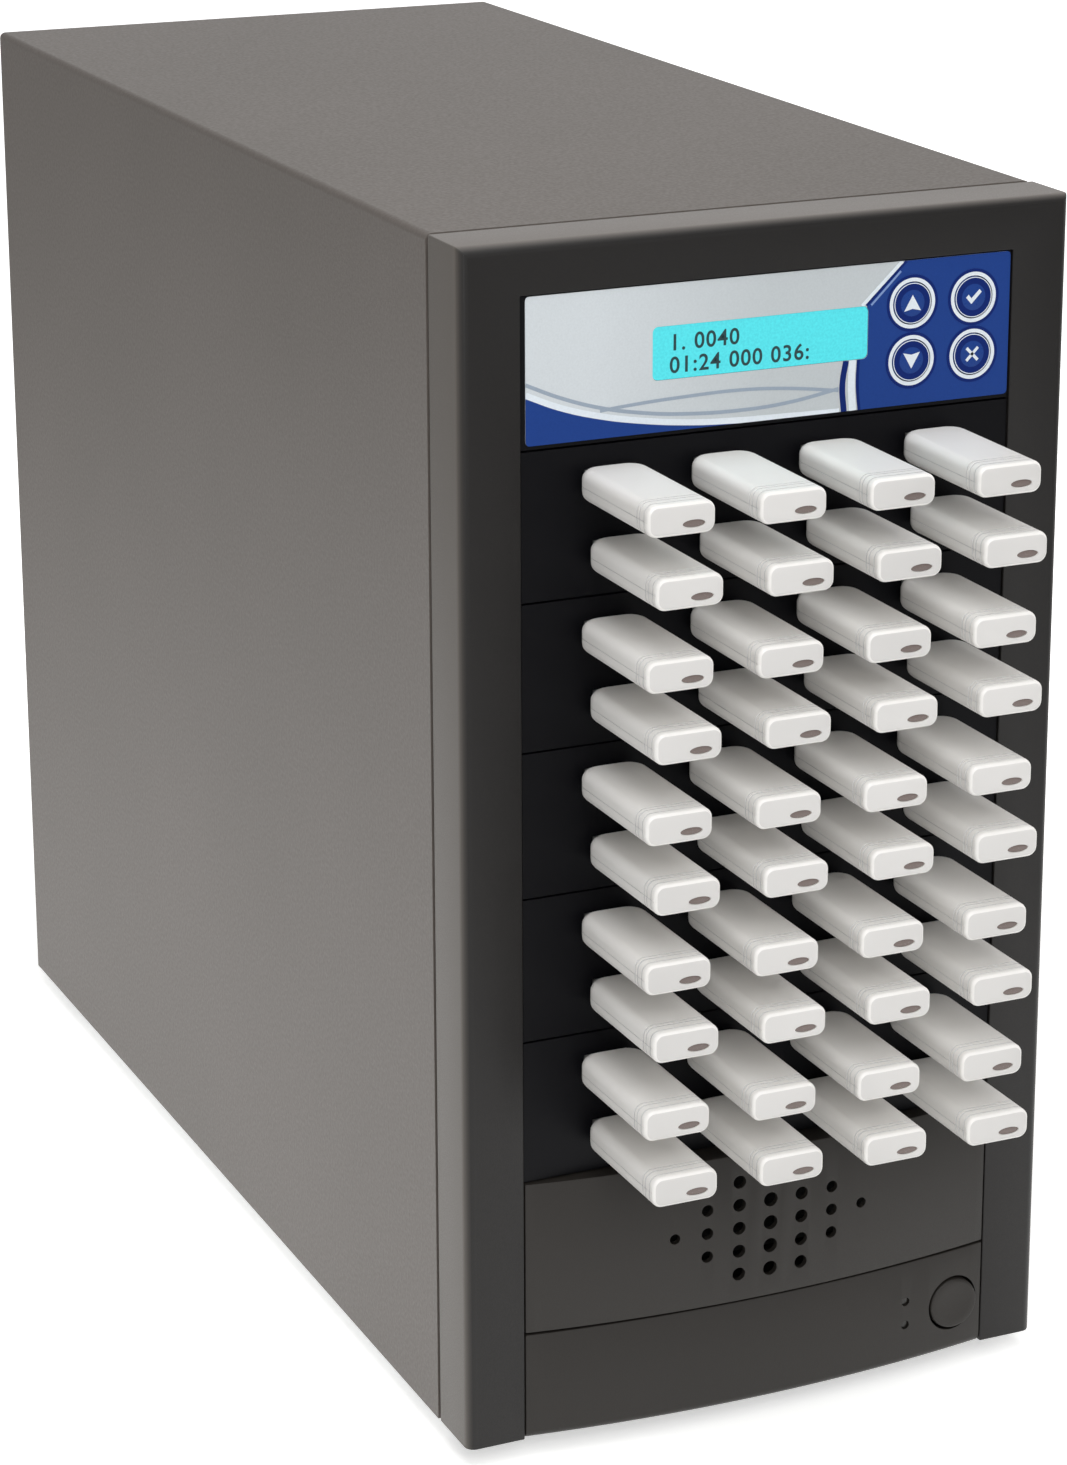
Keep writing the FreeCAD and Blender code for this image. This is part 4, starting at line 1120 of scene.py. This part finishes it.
for name in key_names:
    low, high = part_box(name)
    x, z = centre_of(name)
    radius = (high.z - low.z) / 2
    back = high.y - stem_reach
    cap = finish_with(start_rod(name + "_cap", (x, z), radius, low.y, back, 64), key_blue)
    soften(cap, key_edge, 2, 60)
    tabs = start_box("tabs", (low.x, plate_face + tab_behind, z - tab_high / 2),
                     (high.x, back, z + tab_high / 2))
    stem = start_box("stem", (x - stem_side / 2, back - mm, z - stem_side / 2),
                     (x + stem_side / 2, high.y, z + stem_side / 2))
    parts = [finish_with(tabs, black_plastic), finish_with(stem, black_plastic)]
    parts.append(disc_ring("rim_print", (x, z), rim_inside, rim_radius, low.y - ink / 2,
                           low.y + ink, white_ink))
    parts.append(disc_ring("inner_print", (x, z), field_inside, rim_inside, low.y - ink / 3,
                           low.y + ink, navy_ink))
    for corners in signs[name]:
        sign = drawn("sign", [(u, w, 0) for u, w in corners], 1, white_ink)
        sign.location = (x, low.y - film_face, z - panel_z)
        settle(sign)
        parts.append(sign)
    cap = join(cap, parts)
    smooth(cap, 35)
    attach(cap, name)
    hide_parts(name)
    print(name, "has", len(cap.data.polygons), "faces")

# %% [markdown]
# The power button is a turned cap that stands a little proud of the bowed chin. Its rim is
# well rounded and its face is very slightly dished for a fingertip.

# %% Power button
button_low, button_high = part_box("power_button")
button_x, button_z = bore_centre
button_radius, button_rim = 7.8 * mm, 0.9 * mm
dish_steps, dish_depth = (1.6 * mm, 1.2 * mm), 0.18 * mm
button_stem, button_tab = 2.5 * mm, 1.6 * mm
button = start_rod("power_button_cap", bore_centre, button_radius, button_low.y, button_back, 72)
pick(button, "faces", lambda c, n: n.y < -0.9)
bpy.ops.mesh.region_to_loop()
bpy.ops.mesh.bevel(offset=button_rim, segments=5)
done()
pick(button, "faces", lambda c, n: n.y < -0.95 and math.hypot(c.x - button_x, c.z - button_z) < mm)
for step in dish_steps:
    bpy.ops.mesh.inset(thickness=step)
bpy.ops.transform.translate(value=(0, dish_depth, 0))
done()
finish_with(button, fascia_plastic)
tab = start_box("button_tabs",
                (button_x - button_stem, button_back - button_tab, button_low.z),
                (button_x + button_stem, button_back, button_high.z))
stem = start_box("button_stem",
                 (button_x - button_stem, button_back - mm, button_z - button_stem),
                 (button_x + button_stem, button_high.y, button_z + button_stem))
button = join(button, [finish_with(tab, fascia_plastic), finish_with(stem, fascia_plastic)])
smooth(button, 35)
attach(button, "power_button")
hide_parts("power_button")
print("The power button has", len(button.data.polygons), "faces")

# %% [markdown]
# The rocker of the supply carries the two usual signs, a bar for on and a ring for off,
# printed on the two halves of its dished face.

# %% Rocker signs
pin_faces = 10 * mm ** 2              # the faces of the small pins are below this area
bar_half = (0.35 * mm, ink, 2.2 * mm)
ring_radii = (1.3 * mm, 1.9 * mm)


def rocker_half(side):
    """Middle and turn of one half of the rocker's face."""
    level = centre_of("psu_switch")[0]
    faces = [f for f in nodes["psu_switch"].data.polygons
             if f.area > pin_faces and f.normal.y > 0.9 and side * (f.center.x - level) > 0]
    middle = sum((f.center for f in faces), Vector()) / len(faces)
    return middle, math.atan2(-faces[0].normal.x, faces[0].normal.y)


sign_ink = printed("rocker_sign_ink", tone(214, 214, 212))
on_sign = finish_with(start_box("on_sign", [-half for half in bar_half], bar_half), sign_ink)
off_sign = disc_ring("off_sign", (0, 0), *ring_radii, -ink, ink, sign_ink, 40)
for side, sign in ((-1, on_sign), (1, off_sign)):
    middle, turn = rocker_half(side)
    sign.rotation_euler = (0, 0, turn)
    sign.location = middle
    settle(sign)
signs_piece = join(on_sign, [off_sign])
signs_piece.name = "rocker_signs"
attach(signs_piece, "psu_rocker")
print("The rocker's signs have", len(signs_piece.data.polygons), "faces")

# %% [markdown]
# The stage is a pale floor and soft light, as in a small product studio. The camera sees
# the surroundings as white, and glossy surfaces reflect the same white. The floor also glows
# for glossy rays, most next to the tower: a painted reflection.

# %% Floor
bpy.ops.mesh.primitive_plane_add(size=12)
floor = bpy.context.object
floor.name = "studio_floor"
floor_paint = Finish("studio_floor_paint", tone(238, 238, 236), 0.9, specular=0.0)
reach = floor_paint.node("ShaderNodeVectorMath", i0=floor_paint.place)
reach.operation = "LENGTH"
distance = reach.outputs["Value"]
floor_paint.join(floor_paint.blend(floor_paint.span(distance, 0, 1, 0.35, 1.6),
                                   tone(240, 240, 238), tone(205, 205, 204)), "Base Color")
# the floor's glow: for the camera it is white far off and weaker near the tower, so the tower's
# shadow shows; for glossy rays it is strongest near the tower, a painted reflection
rays = floor_paint.node("ShaderNodeLightPath").outputs
floor_reflection_glow = floor_paint.node("ShaderNodeMath", i0=rays["Is Glossy Ray"],
                         i1=floor_paint.span(distance, 1.0, 0.12, 0.1, 1.1))
floor_reflection_glow.operation = "MULTIPLY"
glow = floor_paint.node("ShaderNodeMath", i0=rays["Is Camera Ray"],
                        i1=floor_paint.span(distance, 0.5, 1.0, 0.25, 0.6),
                        i2=floor_reflection_glow.outputs[0])
glow.operation = "MULTIPLY_ADD"
floor_paint.set(Emission_Color=(1, 1, 1, 1))
floor_paint.join(glow.outputs[0], "Emission Strength")
floor.data.materials.append(floor_paint.material)
print("The floor is", round(floor.dimensions.x, 1), "m wide")

# %% Lights
def softbox(name, place, aim, width, height, watts):
    """A lamp with a flat face, turned towards a point and not seen itself."""
    direction = Vector(aim) - Vector(place)
    bpy.ops.object.light_add(type="AREA", location=place,
                             rotation=direction.to_track_quat("-Z", "Y").to_euler())
    lamp = bpy.context.object
    lamp.name = name
    lamp.data.shape = "RECTANGLE"
    lamp.data.size, lamp.data.size_y = width, height
    lamp.data.energy = watts
    lamp.visible_camera = False


softbox("key_softbox", (-0.8, -2.0, 1.15), (0, 0, 0.18), 1.6, 1.2, 18)
softbox("high_front_softbox", (0.0, -1.9, 1.9), (0, 0, 0.18), 1.8, 1.2, 13)
softbox("top_softbox", (-0.2, -0.5, 2.2), (0, 0, 0.1), 1.6, 1.6, 19)
softbox("left_softbox", (-0.5, 0.3, 0.09), (0, 0.25, -0.02), 0.9, 0.14, 0.4)
softbox("right_softbox", (1.6, 0.1, 0.7), (0, 0.05, 0.15), 1.2, 0.9, 5)
softbox("back_softbox", (0.9, 2.3, 1.1), (0, 0.2, 0.35), 1.8, 1.2, 4)

# %% Surroundings
plain_level, gloss_extra = 0.32, 0.1
world = bpy.context.scene.world or bpy.data.worlds.new("studio")
bpy.context.scene.world = world
world.use_nodes = True
sky = world.node_tree
surround = sky.nodes["Background"]
surround.inputs["Color"].default_value = (1, 1, 1, 1)
rays = sky.nodes.new("ShaderNodeLightPath")
level = sky.nodes.new("ShaderNodeMapRange")
level.inputs["To Min"].default_value = plain_level
level.inputs["To Max"].default_value = 1.0
gloss = sky.nodes.new("ShaderNodeMath")
gloss.operation = "MULTIPLY_ADD"
gloss.inputs[1].default_value = gloss_extra
sky.links.new(rays.outputs["Is Camera Ray"], level.inputs["Value"])
sky.links.new(rays.outputs["Is Glossy Ray"], gloss.inputs[0])
sky.links.new(level.outputs[0], gloss.inputs[2])
sky.links.new(gloss.outputs[0], surround.inputs["Strength"])
print("Lamps:", len(bpy.data.lights))
